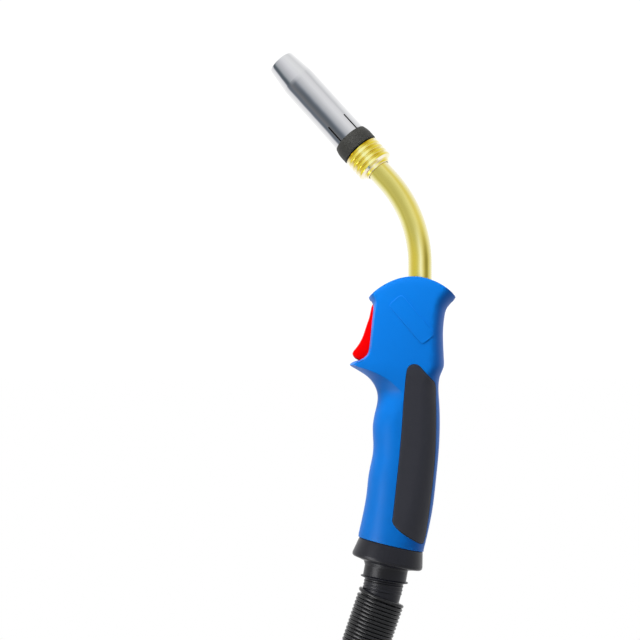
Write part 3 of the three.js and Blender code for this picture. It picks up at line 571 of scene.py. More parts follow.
def box(name, xs, ys, zs, matrix=None):
    verts = [(x, y, z) for x in xs for y in ys for z in zs]
    faces = [(0, 1, 3, 2), (4, 6, 7, 5), (0, 4, 5, 1), (2, 3, 7, 6), (0, 2, 6, 4), (1, 5, 7, 3)]
    return make(name, verts, faces, matrix=matrix)


# ------------------------------------------------------------------ handle tables
# Stations from the lower end (0) to the top (34). Outlines in side view: (x, z)
FRONT = [
    (-36.2, -152.1), (-35.1, -147.4), (-33.2, -138.9), (-31.6, -130.5), (-31.0, -125.3),
    (-30.5, -118.9), (-29.6, -113.6), (-28.4, -108.4), (-27.5, -104.2), (-27.2, -98.9),
    (-27.7, -92.6), (-27.8, -86.8), (-26.7, -81.0), (-25.2, -75.8), (-24.5, -71.2),
    (-25.1, -67.3), (-26.7, -63.4), (-29.2, -60.1), (-31.9, -57.8), (-35.5, -55.6),
    (-38.4, -53.9), (-40.4, -52.7), (-41.2, -51.7), (-39.8, -50.4), (-37.6, -49.6),
    (-35.2, -48.8), (-32.6, -47.1), (-30.8, -44.9), (-29.9, -41.0), (-28.9, -32.0),
    (-28.1, -24.5), (-27.6, -19.2), (-27.9, -16.0), (-29.3, -13.9), (-30.0, -12.3)]
BACK = [
    (1.8, -161.7), (3.1, -156.6), (5.3, -147.8), (7.1, -138.4), (8.0, -131.9),
    (8.8, -124.5), (9.4, -118.0), (10.1, -111.8), (10.6, -106.8), (11.1, -100.9),
    (11.4, -94.1), (11.6, -87.9), (11.6, -81.4), (11.3, -75.8), (11.0, -71.2),
    (10.7, -67.3), (10.6, -63.7), (11.0, -60.2), (11.6, -58.3), (12.7, -55.8),
    (13.6, -54.0), (13.9, -52.8), (14.0, -51.9), (14.0, -50.7), (14.0, -49.7),
    (13.9, -49.0), (13.9, -47.8), (13.8, -45.4), (13.5, -41.0), (13.1, -32.0),
    (13.5, -24.5), (15.3, -19.2), (17.6, -16.0), (19.7, -13.9), (20.8, -12.2)]
# half thickness, front rounding, back rounding, upward bulge, crease strength
SECTION = np.array([
    (19.2, 19.6, 19.6, 0, 0), (18.9, 18.8, 18.8, 0, 0), (18.2, 17.5, 17.0, 0, 0),
    (17.5, 16.2, 15.2, 0, 0), (17.2, 15.5, 14.3, 0, 0), (16.9, 15.0, 13.6, 0, 0),
    (16.7, 14.6, 13.0, 0, 0), (16.5, 14.3, 12.6, 0, 0), (16.4, 14.1, 12.3, 0, 0),
    (16.3, 14.0, 12.0, 0, 0), (16.2, 14.0, 12.0, 0, 0), (16.2, 14.0, 12.0, 0, 0),
    (16.2, 14.2, 12.0, 0, 0), (16.3, 14.6, 11.8, 0, 0.2), (16.4, 14.9, 11.5, 0, 0.5),
    (16.5, 14.2, 11.2, 0, 0.85), (16.6, 11.6, 10.8, 0, 1), (16.8, 10.2, 10.4, 0, 1),
    (16.9, 9.0, 10.1, 0, 1), (17.0, 7.8, 9.8, 0, 1), (17.0, 5.6, 9.6, 0, 1),
    (17.0, 3.6, 9.4, 0, 1), (17.0, 2.4, 9.3, 0, 0.9), (17.0, 2.0, 9.2, 0, 0.5),
    (17.0, 2.0, 9.1, 0, 0.2), (17.0, 1.5, 9.0, 0, 0), (17.0, 1.3, 9.0, 0, 0),
    (17.0, 1.3, 8.8, 0, 0), (17.0, 1.3, 8.6, 0, 0), (17.0, 1.3, 8.2, 0, 0),
    (17.0, 1.4, 8.0, 2.6, 0), (17.0, 1.8, 8.0, 5.4, 0), (17.0, 2.8, 8.0, 8.6, 0),
    (16.9, 2.8, 7.8, 11.1, 0), (16.5, 2.4, 7.2, 12.2, 0)], float)
# front wall of the hollow: (station, x)
HOLLOW = [
    (0, -33.3), (3, -28.6), (5, -28.0), (7, -25.6), (9, -24.5), (11, -25.3), (13, -22.4),
    (14, -22.1), (16, -23.6), (18, -26.5), (20, -27.0), (26, -26.6), (28, -26.9), (29, -26.1),
    (30, -25.4), (31, -24.7), (34, -24.4)]
HOLLOW_STATIONS = [0, 1, 2, 3, 5, 7, 9, 11, 13, 15, 17, 20, 24, 28, 30, 31, 32, 33]
LAST = len(FRONT) - 1
# outline of the grip inlay in side view: (x, z)
INLAY = [
    (-3.9, -51.2), (-6.1, -51.7), (-7.8, -53.3), (-8.4, -55.2), (-9.1, -60.5), (-9.9, -69.2),
    (-10.6, -78.6), (-11.2, -87.9), (-12.1, -98.5), (-13.0, -108), (-14.0, -117.4),
    (-15.0, -126.9), (-15.9, -134.5), (-16.6, -140.6), (-16.9, -143.0), (-15.6, -145.8),
    (-11.4, -149.9), (-7.6, -152.6), (-3.3, -155.3), (-0.4, -156.7), (1.5, -156.8),
    (2.7, -154.2), (4.4, -144.6), (5.8, -133.9), (6.8, -125.7), (7.9, -116.2), (8.7, -105.6),
    (9.2, -93.8), (9.3, -82.0), (9.2, -71.4), (9.1, -65.5), (8.4, -62.0), (5.9, -59.4),
    (3.2, -56.6), (0.2, -53.2), (-1.7, -51.7)]


# ------------------------------------------------------------------ handle surface
norm = np.linalg.norm


def smooth_table(rows, passes, keep):
    """Light smoothing weighted by spacing; the stations in `keep` stay."""
    table = np.array(rows, float)
    for _ in range(passes):
        smoothed = table.copy()
        for i in range(1, len(table) - 1):
            if i in keep:
                continue
            before = norm(table[i] - table[i - 1]) + 1e-6
            after = norm(table[i + 1] - table[i]) + 1e-6
            middle = (table[i - 1] * after + table[i + 1] * before) / (before + after)
            smoothed[i] = table[i] * 0.6 + middle * 0.4
        table = smoothed
    return table


TIP_STATIONS = tuple(range(20, 30))     # the pointed front lip below the trigger
TOP_STATIONS = (31, 32, 33)
FRONT_LINE = smooth_table(FRONT, 1, TIP_STATIONS + TOP_STATIONS)
BACK_LINE = smooth_table(BACK, 2, TOP_STATIONS)
FRONT_LINE[:, 0] -= 0.22
BACK_LINE[:, 0] += 0.18


def spline_point(before, start, end, after, s):
    """Centripetal Catmull-Rom point between start and end."""
    gap_before = max(norm(start - before), 1e-4) ** 0.5
    gap = max(norm(end - start), 1e-4) ** 0.5
    gap_after = max(norm(after - end), 1e-4) ** 0.5
    slope_out = gap * ((start - before) / gap_before
                       - (end - before) / (gap_before + gap)) + (end - start)
    slope_in = gap * ((after - end) / gap_after
                      - (after - start) / (gap + gap_after)) + (end - start)
    s2, s3 = s * s, s * s * s
    return ((2 * s3 - 3 * s2 + 1) * start + (s3 - 2 * s2 + s) * slope_out
            + (-2 * s3 + 3 * s2) * end + (s3 - s2) * slope_in)


def line_point(table, station):
    """Point of an outline at a fractional station."""
    count = len(table)
    station = max(0.0, min(count - 1.0, station))
    i = min(int(station), count - 2)
    start, end = table[i], table[i + 1]
    before = table[i - 1] if i > 0 else 2 * start - end
    after = table[i + 2] if i + 2 < count else 2 * end - start
    return spline_point(before, start, end, after, station - i)


def section_at(station):
    i = min(int(station), LAST - 1)
    s = station - i
    s = s * s * (3 - 2 * s) * 0.5 + s * 0.5
    return SECTION[i] * (1 - s) + SECTION[i + 1] * s


def bulge_height(share, bulge):
    """Rise of a station line at a share of its width."""
    return np.maximum(0, 4 * share * (1 - share)) ** 0.85 * bulge


def side_y(from_front, from_back, half, front_round, back_round, crease):
    """Half thickness at the given distances from the front and back lines."""
    y = half
    if from_front < front_round:
        x = from_front / front_round
        k = 1 - 0.48 * crease
        y *= math.sqrt(max(0, 1 - (1 - k * x) ** 2)) / math.sqrt(1 - (1 - k) ** 2)
    if from_back < back_round:
        y *= math.sqrt(max(0, 1 - (1 - from_back / back_round) ** 2))
    centred = (from_front - from_back) / max(from_front + from_back, 1e-6)
    return y - 0.55 * centred * centred * min(1.0, y / 9.0)


def line_at(station, offset=0.0, hollow=False):
    """Front point, back point, width, half, front and back rounding, bulge, crease."""
    front, back = line_point(FRONT_LINE, station), line_point(BACK_LINE, station)
    half, front_round, back_round, bulge, crease = section_at(station)
    span = back - front
    across = span / norm(span)
    start = front - across * offset
    end = back + across * offset
    if hollow:
        wall_x = np.interp(station, *zip(*HOLLOW))
        start = front + span * ((wall_x - front[0]) / span[0])
        front_round = min(max(front_round - 3, 4), 13)
        crease = 0
    width = norm(end - start)
    front_round = max(1.0, min(front_round + offset, width / 2))
    back_round = max(1.5, min(back_round + offset, width / 2))
    return start, end, width, half + offset, front_round, back_round, bulge, crease


def even_stations():
    """Fractional stations about 1 mm apart."""
    stations, station, probe = [], 0.0, 0.2
    while station < LAST - 1e-6:
        stations.append(station)
        ahead = min(station + probe, LAST)
        moved = sum(norm(line_point(line, ahead) - line_point(line, station))
                    for line in (FRONT_LINE, BACK_LINE))
        station += max(0.08, min(0.5, probe * 2.0 / max(moved, 1e-3)))
    return stations + [float(LAST)]


STATIONS = even_stations()
TOP_RIM = ((0.2, 0.144), (0.7, 0.234))      # (pulled in, raised)
END_DROP = 1.6                              # the lower ring is carried this far past its line


def width_shares(width, front_round, back_round, crease, count):
    """Shares of the width; on a creased section they meet where the roundings end."""
    round_count = int(count * 0.38)
    flat_count = count - 2 * round_count
    front = min(front_round / width, 0.47)
    back = max(1 - back_round / width, 0.53)
    shares = [front * (1 - math.cos(math.pi / 2 * i / round_count)) for i in range(round_count)]
    shares += [front + (back - front) * i / flat_count for i in range(flat_count)]
    shares += [1 - (1 - back) * (1 - math.sin(math.pi / 2 * i / round_count))
               for i in range(round_count + 1)]
    f = min(1.0, crease / 0.25)
    return [share * f + (0.5 - 0.5 * math.cos(math.pi * i / count)) * (1 - f)
            for i, share in enumerate(shares)]


def loft_handle(name, offset=0.0, stations=STATIONS, count=44, hollow=False, rim=True):
    """Closed solid of the handle, its skin moved out by `offset`."""
    rings = []
    last = len(stations) - 1
    for k, station in enumerate(stations):
        start, end, width, half, front_round, back_round, bulge, crease = line_at(
            station, offset, hollow)
        points = []
        for share in width_shares(width, front_round, back_round, crease, count):
            x = start[0] + (end[0] - start[0]) * share
            y = side_y(share * width, (1 - share) * width, half, front_round, back_round, crease)
            z = start[1] + (end[1] - start[1]) * share + bulge_height(share, bulge)
            if k == 0:
                z -= offset + END_DROP
            if k == last:
                z += offset
            points.append((x, y, z))
        rings.append(points)
    if rim:
        top = rings[-1]
        middle = (top[0][0] + top[-1][0]) / 2
        for pull, rise in TOP_RIM:
            rings.append([(middle + (x - middle) * (1 - pull / 25.0),
                           y * max(0, 1 - pull / max(y, 0.01)), z + rise) for x, y, z in top])
    verts = []
    for points in rings:
        verts += points
        verts += [(x, -y, z) for x, y, z in points[count - 1:0:-1]]
    around = 2 * count
    faces = band_faces(len(rings), around)
    for first, flip in ((0, False), ((len(rings) - 1) * around, True)):
        for i in range(count):
            corners = (i, i + 1, (around - i - 1) % around, (around - i) % around)
            face = list(dict.fromkeys(first + corner for corner in corners))
            if len(face) > 2:
                faces.append(tuple(face[::-1] if flip else face))
    return make(name, verts, faces, angle=40)


# dense samples of the skin for looking up its thickness
SAMPLES = [line_at(station) for station in np.linspace(0, LAST, 1361)]
START_X, START_Z = np.array([sample[0] for sample in SAMPLES]).T
END_X, END_Z = np.array([sample[1] for sample in SAMPLES]).T
SHAPES = np.array([sample[2:] for sample in SAMPLES])


def skin_y(x, z):
    """Half thickness of the handle seen from the side at x, z."""
    shares = np.clip((x - START_X) / (END_X - START_X), 0, 1)
    heights = START_Z + (END_Z - START_Z) * shares + bulge_height(shares, SHAPES[:, 4])
    i = int(np.clip(np.searchsorted(heights, z) - 1, 0, len(SAMPLES) - 2))
    s = min(1.0, max(0.0, (z - heights[i]) / max(heights[i + 1] - heights[i], 1e-9)))
    width, half, front_round, back_round, _, crease = SHAPES[i] * (1 - s) + SHAPES[i + 1] * s
    share = shares[i] * (1 - s) + shares[i + 1] * s
    return side_y(share * width, (1 - share) * width, half, front_round, back_round, crease)


# ------------------------------------------------------------------ outlines on the skin
def resample(points, count):
    """Evenly spaced points on a closed line."""
    points = np.array([*points, points[0]])
    lengths = np.concatenate([[0], np.cumsum(norm(np.diff(points, axis=0), axis=1))])
    spots = np.linspace(0, lengths[-1], count, endpoint=False)
    return np.stack([np.interp(spots, lengths, points[:, k]) for k in (0, 1)], 1)


def closed_curve(outline, count):
    """Smooth closed curve through an outline."""
    table = np.array(outline, float)
    total = len(table)
    points = []
    for i in range(total):
        corners = (table[i - 1], table[i], table[(i + 1) % total], table[(i + 2) % total])
        points += [spline_point(*corners, s) for s in np.linspace(0, 1, 12, endpoint=False)]
    return resample(points, count)


def inset(outline, distance):
    """Move a closed outline inwards."""
    before, after = np.roll(outline, 1, 0), np.roll(outline, -1, 0)
    tangent = after - before
    tangent /= norm(tangent, axis=1)[:, None] + 1e-9
    normal = np.stack([-tangent[:, 1], tangent[:, 0]], 1)
    area = np.sum(outline[:, 0] * after[:, 1] - after[:, 0] * outline[:, 1])
    return outline + normal * distance * (1 if area > 0 else -1)


def skin_patch(name, outline, side, spine, profile, steps, mat=None):
    """Piece that follows the handle's skin inside an outline and closes on a spine.

    profile: (inset, height over the skin) from the bottom edge over the rim.
    """
    def on_skin(point, height):
        return (point[0], side * (skin_y(point[0], point[1]) + height), point[1])

    def toward_spine(distance, height):
        edge = inset(outline, distance)
        return [[on_skin(point * (1 - k / steps) + spine(point) * (k / steps), height)
                 for point in edge] for k in range(1, steps + 1)]

    rings = [[on_skin(point, height) for point in inset(outline, distance)]
             for distance, height in profile]
    rings += toward_spine(*profile[-1])
    upper = len(rings)
    rings += toward_spine(*profile[0])
    count = len(outline)
    faces = band_faces(upper, count)
    for k in range(steps):      # underside, starting from the bottom edge
        low = (upper + k - 1) * count if k else 0
        high = (upper + k) * count
        for i in range(count):
            j = (i + 1) % count
            faces.append((low + j, low + i, high + i, high + j))
    return make(name, [point for points in rings for point in points], faces, mat, 45,
                merge=0.02)


INLAY_OUTLINE = closed_curve(INLAY, 240)
INLAY_RIM = [(0.24, -1.35), (0.22, -0.4), (0.26, -0.02), (0.42, 0.17), (0.7, 0.26), (1.1, 0.3)]


def inlay_spine(point):
    z = min(-60.0, max(-146.0, point[1]))
    t = (z + 60) / (-86.0)
    return np.array([-0.4 * (1 - t) + -6.6 * t + 0.6 * math.sin(math.pi * t), z])


# blank raised pad slanting across the left side of the head, in (x, z)
PAD_START = np.array([-12.97, -16.24])
PAD_END = np.array([2.17, -34.06])
PAD_HALF_WIDTH = 5.0
PAD_OVERRUN = 3.6       # past each end of its centre line
PAD_CORNER = 2.0
PAD_RIM = [(0, -0.9), (0, 0.28), (0.06, 0.42), (0.2, 0.5)]


def pad_piece():
    length = norm(PAD_END - PAD_START)
    along = (PAD_END - PAD_START) / length
    half = np.array([-along[1], along[0]]) * PAD_HALF_WIDTH
    low, high = PAD_START - along * PAD_OVERRUN, PAD_END + along * PAD_OVERRUN
    corners = [low + half, low - half, high - half, high + half]
    points = []
    for i, corner in enumerate(corners):
        back, ahead = corners[i - 1] - corner, corners[(i + 1) % 4] - corner
        back, ahead = back / norm(back), ahead / norm(ahead)
        centre = corner + (back + ahead) * PAD_CORNER
        # from the centre the arc starts opposite `ahead` and ends opposite `back`
        first = math.atan2(-ahead[1], -ahead[0])
        last = math.atan2(-back[1], -back[0])
        sweep = (last - first + math.pi) % (2 * math.pi) - math.pi
        for k in range(9):
            angle = first + sweep * k / 8
            points.append(centre + PAD_CORNER * np.array([math.cos(angle), math.sin(angle)]))

    def spine(point):
        return PAD_START + along * min(length, max(0, np.dot(point - PAD_START, along)))
    return skin_patch("pad", resample(points, 120), -1, spine, PAD_RIM, 4)


# ------------------------------------------------------------------ handle shells
SCREWS = [(-16, -10.5), (12.6, -14.0), (-19.5, -63.1), (-25.1, -133.3)]     # (x, z)
SINK = [13.6, 9.2, 9.2, 9.2]    # y of each screw's counterbore floor
SEAM = 0.12                     # each half stops this far from the middle plane
BOSS_RADIUS = 3.3
CUP_RADIUS = 4.6


def add_bosses(shell, span):
    for x, z in SCREWS:
        top = min(skin_y(x + 3.4 * math.cos(angle), z + 3.4 * math.sin(angle))
                  for angle in np.linspace(0, 2 * math.pi, 12)) - 1.4
        boolean(shell, bar_y("boss", BOSS_RADIUS, x, z, span(SEAM, top), 28), "UNION")


def add_screw_cups(shell):
    """Walls around the counterbores, kept just inside the skin."""
    inner = loft_handle("inner", -0.6, count=26)
    for (x, z), floor_y in zip(SCREWS, SINK):
        cup = bar_y("cup", CUP_RADIUS, x, z, (floor_y - 1.6, 17.5))
        boolean(cup, inner, "INTERSECT", keep=True)
        boolean(shell, cup, "UNION")
    drop(inner)


def build_shell(side):
    """One moulded half, left for side -1 and right for side 1."""
    def span(near, far):
        return (-far, -near) if side < 0 else (near, far)

    shell = loft_handle("handle_left_shell_skin" if side < 0 else "handle_right_shell_skin")
    boolean(shell, box("rearcut", (-60, 60), (-60, 60), (0, 30), REAR_FRAME))
    boolean(shell, box("half", (-80, 60), span(SEAM, 60), (-220, 40)), "INTERSECT")
    boolean(shell, loft_handle("hollow", -3.0, HOLLOW_STATIONS, 16, hollow=True, rim=False))
    add_bosses(shell, span)
    if side > 0:
        add_screw_cups(shell)
    boolean(shell, box("rib", (-13, 7), span(SEAM, 15.4), (-20, -17.5)), "UNION")
    boolean(shell, rod("neckhole", 7.5, (-60, 30)))
    boolean(shell, rod("seat", 9.1, (-25, -7.2)))
    boolean(shell, box("slot", (-70, -21), (-6.7, 6.7), (-50.6, -14.3)))
    boolean(shell, rod("mouth", 15.9, (-9.4, 12), REAR_FRAME, 80))
    pocket = prism_y("pocket", INLAY_OUTLINE, span(0.5, 30))
    boolean(pocket, loft_handle("floor", -1.75, count=26, rim=False))
    boolean(shell, pocket)
    if side > 0:
        for (x, z), floor_y in zip(SCREWS, SINK):
            boolean(shell, bar_y("through", 1.75, x, z, (-1, 30), 24))
            boolean(shell, bar_y("sink", 3.45, x, z, (floor_y, 30), 48))
    else:
        boolean(shell, pad_piece(), "UNION")
    shell.data.materials.clear()
    shell.data.materials.append(LOOKS["blue_nylon"])
    finish_mesh(shell, 22, 0.004)
    return shell


left_shell = build_shell(-1)
right_shell = build_shell(1)
place(left_shell, "handle_left_shell")
place(right_shell, "handle_right_shell")

for side, node in ((-1, "grip_inlay_left"), (1, "grip_inlay_right")):
    place(skin_patch(node + "_skin", INLAY_OUTLINE, side, inlay_spine, INLAY_RIM, 9,
                     LOOKS["soft_grip"]), node)


def shell_screw(i):
    """Cross-head screw along +y, its head on the counterbore floor."""
    x, z = SCREWS[i]
    matrix = Matrix.Translation((x, 0, z)) @ turned(-90, 'X')
    seat = SINK[i] + 0.3
    profile = [(0, -8.6), (1.25, -8.6), (1.25, seat), (3.1, seat), (3.1, seat + 1.65),
               (2.7, seat + 2.15), (0, seat + 2.3)]
    screw = lathe(f"shell_screw_{i+1}", fillet(profile, 0, 3, {3: 0.2, 4: 0.5, 5: 0.6}),
                  matrix, LOOKS["steel"], 48, closed=False)
    for k in range(2):
        boolean(screw, box("cross", (-1.9, 1.9), (-0.36, 0.36), (seat + 1.0, seat + 4),
                           matrix @ turned(45 + 90 * k + 11 * i, 'Z')))
    finish_mesh(screw, 35, 0.004)
    return screw


for i in range(len(SCREWS)):
    place(shell_screw(i), f"handle_screw_{i+1}")

# ------------------------------------------------------------------ trigger
# outline in side view: (x, z)
TRIGGER = [
    (-28.4, -17.1), (-29.3, -20.7), (-30.1, -24.2), (-31.3, -27.7), (-32.5, -31.3),
    (-33.7, -34.8), (-35.4, -38.4), (-37.3, -41.3), (-39.3, -43.8), (-39.9, -45.2),
    (-39.4, -46.7), (-38.1, -48.2), (-36.0, -49.1), (-33.6, -48.9), (-30.7, -47.6),
    (-27.1, -45.4), (-23.8, -44.3), (-22.4, -43.0), (-22.35, -35.0), (-22.3, -26.6),
    (-20.8, -22.6), (-20.2, -19.2), (-21.3, -16.3), (-23.8, -15.1), (-26.9, -15.4)]
TRIGGER_HALF = 5.75     # half thickness
TRIGGER_ROUND = 1.15    # rounding of the side edges
TRIGGER_STEPS = 5
FINGER_X = -27          # in front of this the face is crowned


def trigger_piece():
    outline = closed_curve(TRIGGER, 150)
    rounding = []       # (inset, y) on the left side
    for k in range(TRIGGER_STEPS + 1):
        angle = math.pi / 2 * k / TRIGGER_STEPS
        rounding.append((TRIGGER_ROUND * (1 - math.sin(angle)),
                         -(TRIGGER_HALF - TRIGGER_ROUND + TRIGGER_ROUND * math.cos(angle))))
    profile = rounding + [(0, -2.5), (0, 0), (0, 2.5)]
    profile += [(distance, -y) for distance, y in rounding[::-1]]
    verts = []
    for distance, y in profile:
        crown = 0.35 * (1 - (y / TRIGGER_HALF) ** 2)
        for x, z in inset(outline, distance):
            verts.append((x - crown * 0.8 + 0.28 if x < FINGER_X else x, y, z))
    count = len(outline)
    faces = band_faces(len(profile), count) + cap_faces(len(profile), count)
    trigger = make("trigger_lever", verts, faces, LOOKS["red_plastic"], 40)
    boolean(trigger, bar_y("pinhole", 1.5, PIVOT.x, PIVOT.z, (-9, 9)))
    finish_mesh(trigger, 35, 0.002)
    return trigger


place(trigger_piece(), "trigger")

# ------------------------------------------------------------------ neck and head
# Profiles are (radius, z) in the head's frame, whose z runs along the neck's end.
NECK_BOTTOM = -29.5
NECK_OVERLAP = 2.7      # the tube runs this far into the head
FIN_START, FIN_PITCH, FIN_THICK, FIN_COUNT = 2.9, 3.17, 1.55, 5
HEAD_END = 15.9         # front of the last fin
SLOT_END = 37.3         # front end of the nozzle's slots
SLOT_HALF = 0.5


def neck_path(bend_steps=40):
    path = [Vector((0, 0, z)) for z in np.linspace(NECK_BOTTOM, BEND_START - 0.5, 8)]
    for i in range(bend_steps + 1):
        angle = BEND * i / bend_steps
        path.append(Vector((-BEND_RADIUS * (1 - math.cos(angle)), 0,
                            BEND_START + BEND_RADIUS * math.sin(angle))))
    for s in np.linspace(1.0, NECK_STRAIGHT + NECK_OVERLAP, 6):
        path.append(BEND_END + NECK_DIR * s)
    return path


def finned_head():
    profile = [(7.25, -0.2), (7.9, -0.2), (8.25, 0.3), (8.5, 1.1), (9.2, 2.0), (10.4, 2.5)]
    for k in range(FIN_COUNT):
        last = k == FIN_COUNT - 1
        start = FIN_START + FIN_PITCH * k
        end = HEAD_END if last else start + FIN_THICK
        if k:
            profile += [(9.75, start - 0.85), (10.35, start - 0.45)]
        profile += [(11.3, start - 0.02), (11.42, min(start + 0.4, 15.5)),
                    (11.38, end - (0.35 if last else 0))]
        if not last:
            profile += [(10.4, end + 0.32), (9.75, end + 0.7)]
    profile += [(7.2, HEAD_END), (7.2, 40), (5.3, 40), (5.3, 24), (3.0, 23.4), (3.0, 8),
                (4.95, 8), (4.95, 3.2), (7.25, 3.2)]
    return lathe("finned_head_turned", fillet(profile, 0.35, 3), HEAD_FRAME,
                 LOOKS["head_brass"], 128, 50)


RING_PROFILE = [(7.5, 16.3), (11.2, 16.3), (11.6, 16.9), (11.62, 21.4), (11.4, 23.4),
                (10.8, 25.7), (10.65, 26.1), (10.6, 22.4), (7.5, 22.4)]
NOZZLE_PROFILE = [(8.85, 23), (10.25, 23), (10.35, 27), (10.28, 36), (10.2, 44), (10.2, 71.6),
                  (10.08, 74.4), (8.4, 89.0), (8.2, 90.0), (7.7, 90.5), (6.4, 90.5), (6.4, 84),
                  (8.3, 74), (8.85, 70)]
NOZZLE_RADII = {4: 6, 5: 3, 6: 3, 7: 0.6, 8: 0.35, 9: 0.35, 10: 0.3, 11: 1, 12: 3, 13: 3}
SLEEVE_PROFILE = [(7.5, 22.8), (8.55, 22.8), (8.55, 41), (7.5, 41)]
DIFFUSER_PROFILE = [(5.45, 41.4), (7.5, 41.4), (7.5, 55.2), (6.9, 56), (5.45, 56)]
# radius, z, share of hexagon
HOLDER_PROFILE = [(2.6, 24.6, 0), (4.85, 24.6, 0), (5.0, 24.9, 0), (5.0, 56.3, 0),
                  (5.1, 56.4, 1), (5.1, 61.6, 1), (4.75, 62.0, 0.6), (3.3, 62.0, 0),
                  (3.3, 51, 0), (2.6, 51, 0)]
TIP_PROFILE = [(0.7, 51.4), (2.95, 51.4), (2.95, 62.3), (4.0, 62.3), (4.0, 80.5), (2.9, 85.2),
               (0.7, 85.2)]


def gas_nozzle():
    """Plated nozzle with five slots from its rear end, each closed by a round end."""
    nozzle = lathe("gas_nozzle_plated", fillet(NOZZLE_PROFILE, 0, 6, NOZZLE_RADII), HEAD_FRAME,
                   LOOKS["plated_steel"], 160, 40)
    for i in range(5):
        spin = HEAD_FRAME @ turned(72 * i + 37.5, 'Z')
        boolean(nozzle, box("slot", (6, 16), (-SLOT_HALF, SLOT_HALF), (18, SLOT_END), spin))
        across = spin @ Matrix.Translation((0, 0, SLOT_END)) @ turned(90, 'Y')
        boolean(nozzle, rod("slot_end", SLOT_HALF, (5, 14), across, 20))
    finish_mesh(nozzle, 30, 0.002)
    return nozzle


def gas_diffuser():
    """Ceramic ring with three holes drilled right across."""
    diffuser = lathe("ceramic_diffuser", fillet(DIFFUSER_PROFILE, 0.3, 3), HEAD_FRAME,
                     LOOKS["ceramic"])
    for i in range(3):
        across = (HEAD_FRAME @ Matrix.Translation((0, 0, 52)) @ turned(60 * i, 'Z')
                  @ turned(90, 'Y'))
        boolean(diffuser, rod("gas_hole", 0.8, (-12, 12), across, 20))
    finish_mesh(diffuser, 35, 0.002)
    return diffuser


def tip_holder(seg=96):
    """Round holder with a hexagon, its corners cut back, at the front."""
    verts = []
    for radius, z, hexagon in HOLDER_PROFILE:
        for i in range(seg):
            angle = 2 * math.pi * i / seg
            flat = radius / math.cos((angle % (math.pi / 3)) - math.pi / 6)
            reach = radius * (1 - hexagon) + min(flat, radius * 1.12) * hexagon
            verts.append((reach * math.cos(angle), reach * math.sin(angle), z))
    faces = band_faces(len(HOLDER_PROFILE), seg, closed=True)
    return make("tip_holder_turned", verts, faces, LOOKS["head_brass"], 30, HEAD_FRAME)


place(pipe("neck_tube_drawn", neck_path(), 6.95, 5.6, LOOKS["tube_brass"], 64, NECK_FRAME),
      "swan_neck_tube")
place(finned_head(), "neck_head")
place(lathe("insulating_ring", fillet(RING_PROFILE, 0.4, 4), HEAD_FRAME, LOOKS["insulator"],
            128, 50), "insulator_ring")
place(gas_nozzle(), "gas_nozzle")
place(lathe("seat_sleeve", fillet(SLEEVE_PROFILE, 0.25, 3), HEAD_FRAME, LOOKS["insulator"]),
      "nozzle_seat_sleeve")
place(gas_diffuser(), "gas_diffuser")
place(tip_holder(), "tip_holder")
place(lathe("contact_tip_turned",
            fillet(TIP_PROFILE, 0.2, 4, {3: 0.3, 4: 2.0, 5: 0.7, 6: 0.2}),
            HEAD_FRAME, LOOKS["copper"], 64), "contact_tip")

# ------------------------------------------------------------------ rear outlet
SOCKET_RADIUS = 15.1
SOCKET_CENTRE = 7.5     # z in the collar's frame
COLLAR_BORE = 14.25
BALL_RADIUS = 14.6
STEM_BEND = 16          # z below which the stem leans towards the spring


def rear_collar():
    profile = [(12.4, -8.2), (15.3, -8.2), (15.3, -6.4), (14.25, -6.4), (14.25, 0.3),
               (19.2, 0.3), (19.8, 3.0), (20.55, 6.5), (21.15, 9.3), (21.1, 10.7),
               (20.1, 11.5), (16.8, 12.1), (15.0, 12.6), (14.1, 12.8), (COLLAR_BORE, 12.2)]
    profile += [(math.sqrt(SOCKET_RADIUS ** 2 - (z - SOCKET_CENTRE) ** 2), z)
                for z in (9.5, 6.5, 3, 0.4)]
    profile.append((12.4, -1.2))
    radii = {5: 0.5, 8: 1.2, 9: 1.2, 10: 1.6, 11: 1.0}
    return lathe("rear_collar_moulded", fillet(profile, 0.3, 4, radii), REAR_FRAME,
                 LOOKS["black_plastic"], 128, 45)


def ball_stem():
    """Ball, flange and ribbed stem, its lower end turned gently to the spring's axis."""
    profile = [(9.0, -11)]
    for i in range(15):
        z = -11 + 17.9 * i / 14
        profile.append((math.sqrt(BALL_RADIUS ** 2 - z * z), z))
    profile += [(12.86, 8.2), (12.86, 12.6), (13.0, 12.95), (13.9, 13.2), (14.25, 13.6),
                (13.9, 14.0), (12.2, 14.4), (11.5, 15.0)]
    for k in range(3):
        z = 15.6 + 2.1 * k
        profile += [(11.5, z), (11.8, z + 0.45), (11.8, z + 0.75), (11.5, z + 1.2)]
    profile += [(11.45, 22.0), (11.5, 25.0), (11.55, 27.6), (9.0, 27.6)]
    stem = lathe("outlet_stem_moulded", fillet(profile, 0.18, 3), STEM_FRAME,
                 LOOKS["black_plastic"], 112, 50)
    to_stem = (Matrix.Translation(ORIGIN) @ STEM_FRAME).inverted()
    full_turn = STEM_DIR.rotation_difference(SPRING_DIR)
    hub = STEM_FRAME @ Vector((0, 0, STEM_BEND))
    for vert in stem.data.vertices:
        local = to_stem @ (vert.co * 1000)
        if local.z > STEM_BEND:
            share = min(1.0, (local.z - STEM_BEND) / 12.0)
            turn = Quaternion().slerp(full_turn, share * 0.55)
            vert.co = to_scene(hub + turn @ (STEM_FRAME @ local - hub))
    stem.data.update()
    return stem


WIRE_RADIUS = 1.19
COIL_PITCH = 2.37
COIL_TURNS = 25
COIL_STEPS = 40         # points per turn
COIL_RADIUS = 14.25 - WIRE_RADIUS
COIL_LIFT = 1.3         # the free end of the first coil stands this far above the rest
SPRING_LENGTH = COIL_PITCH * COIL_TURNS


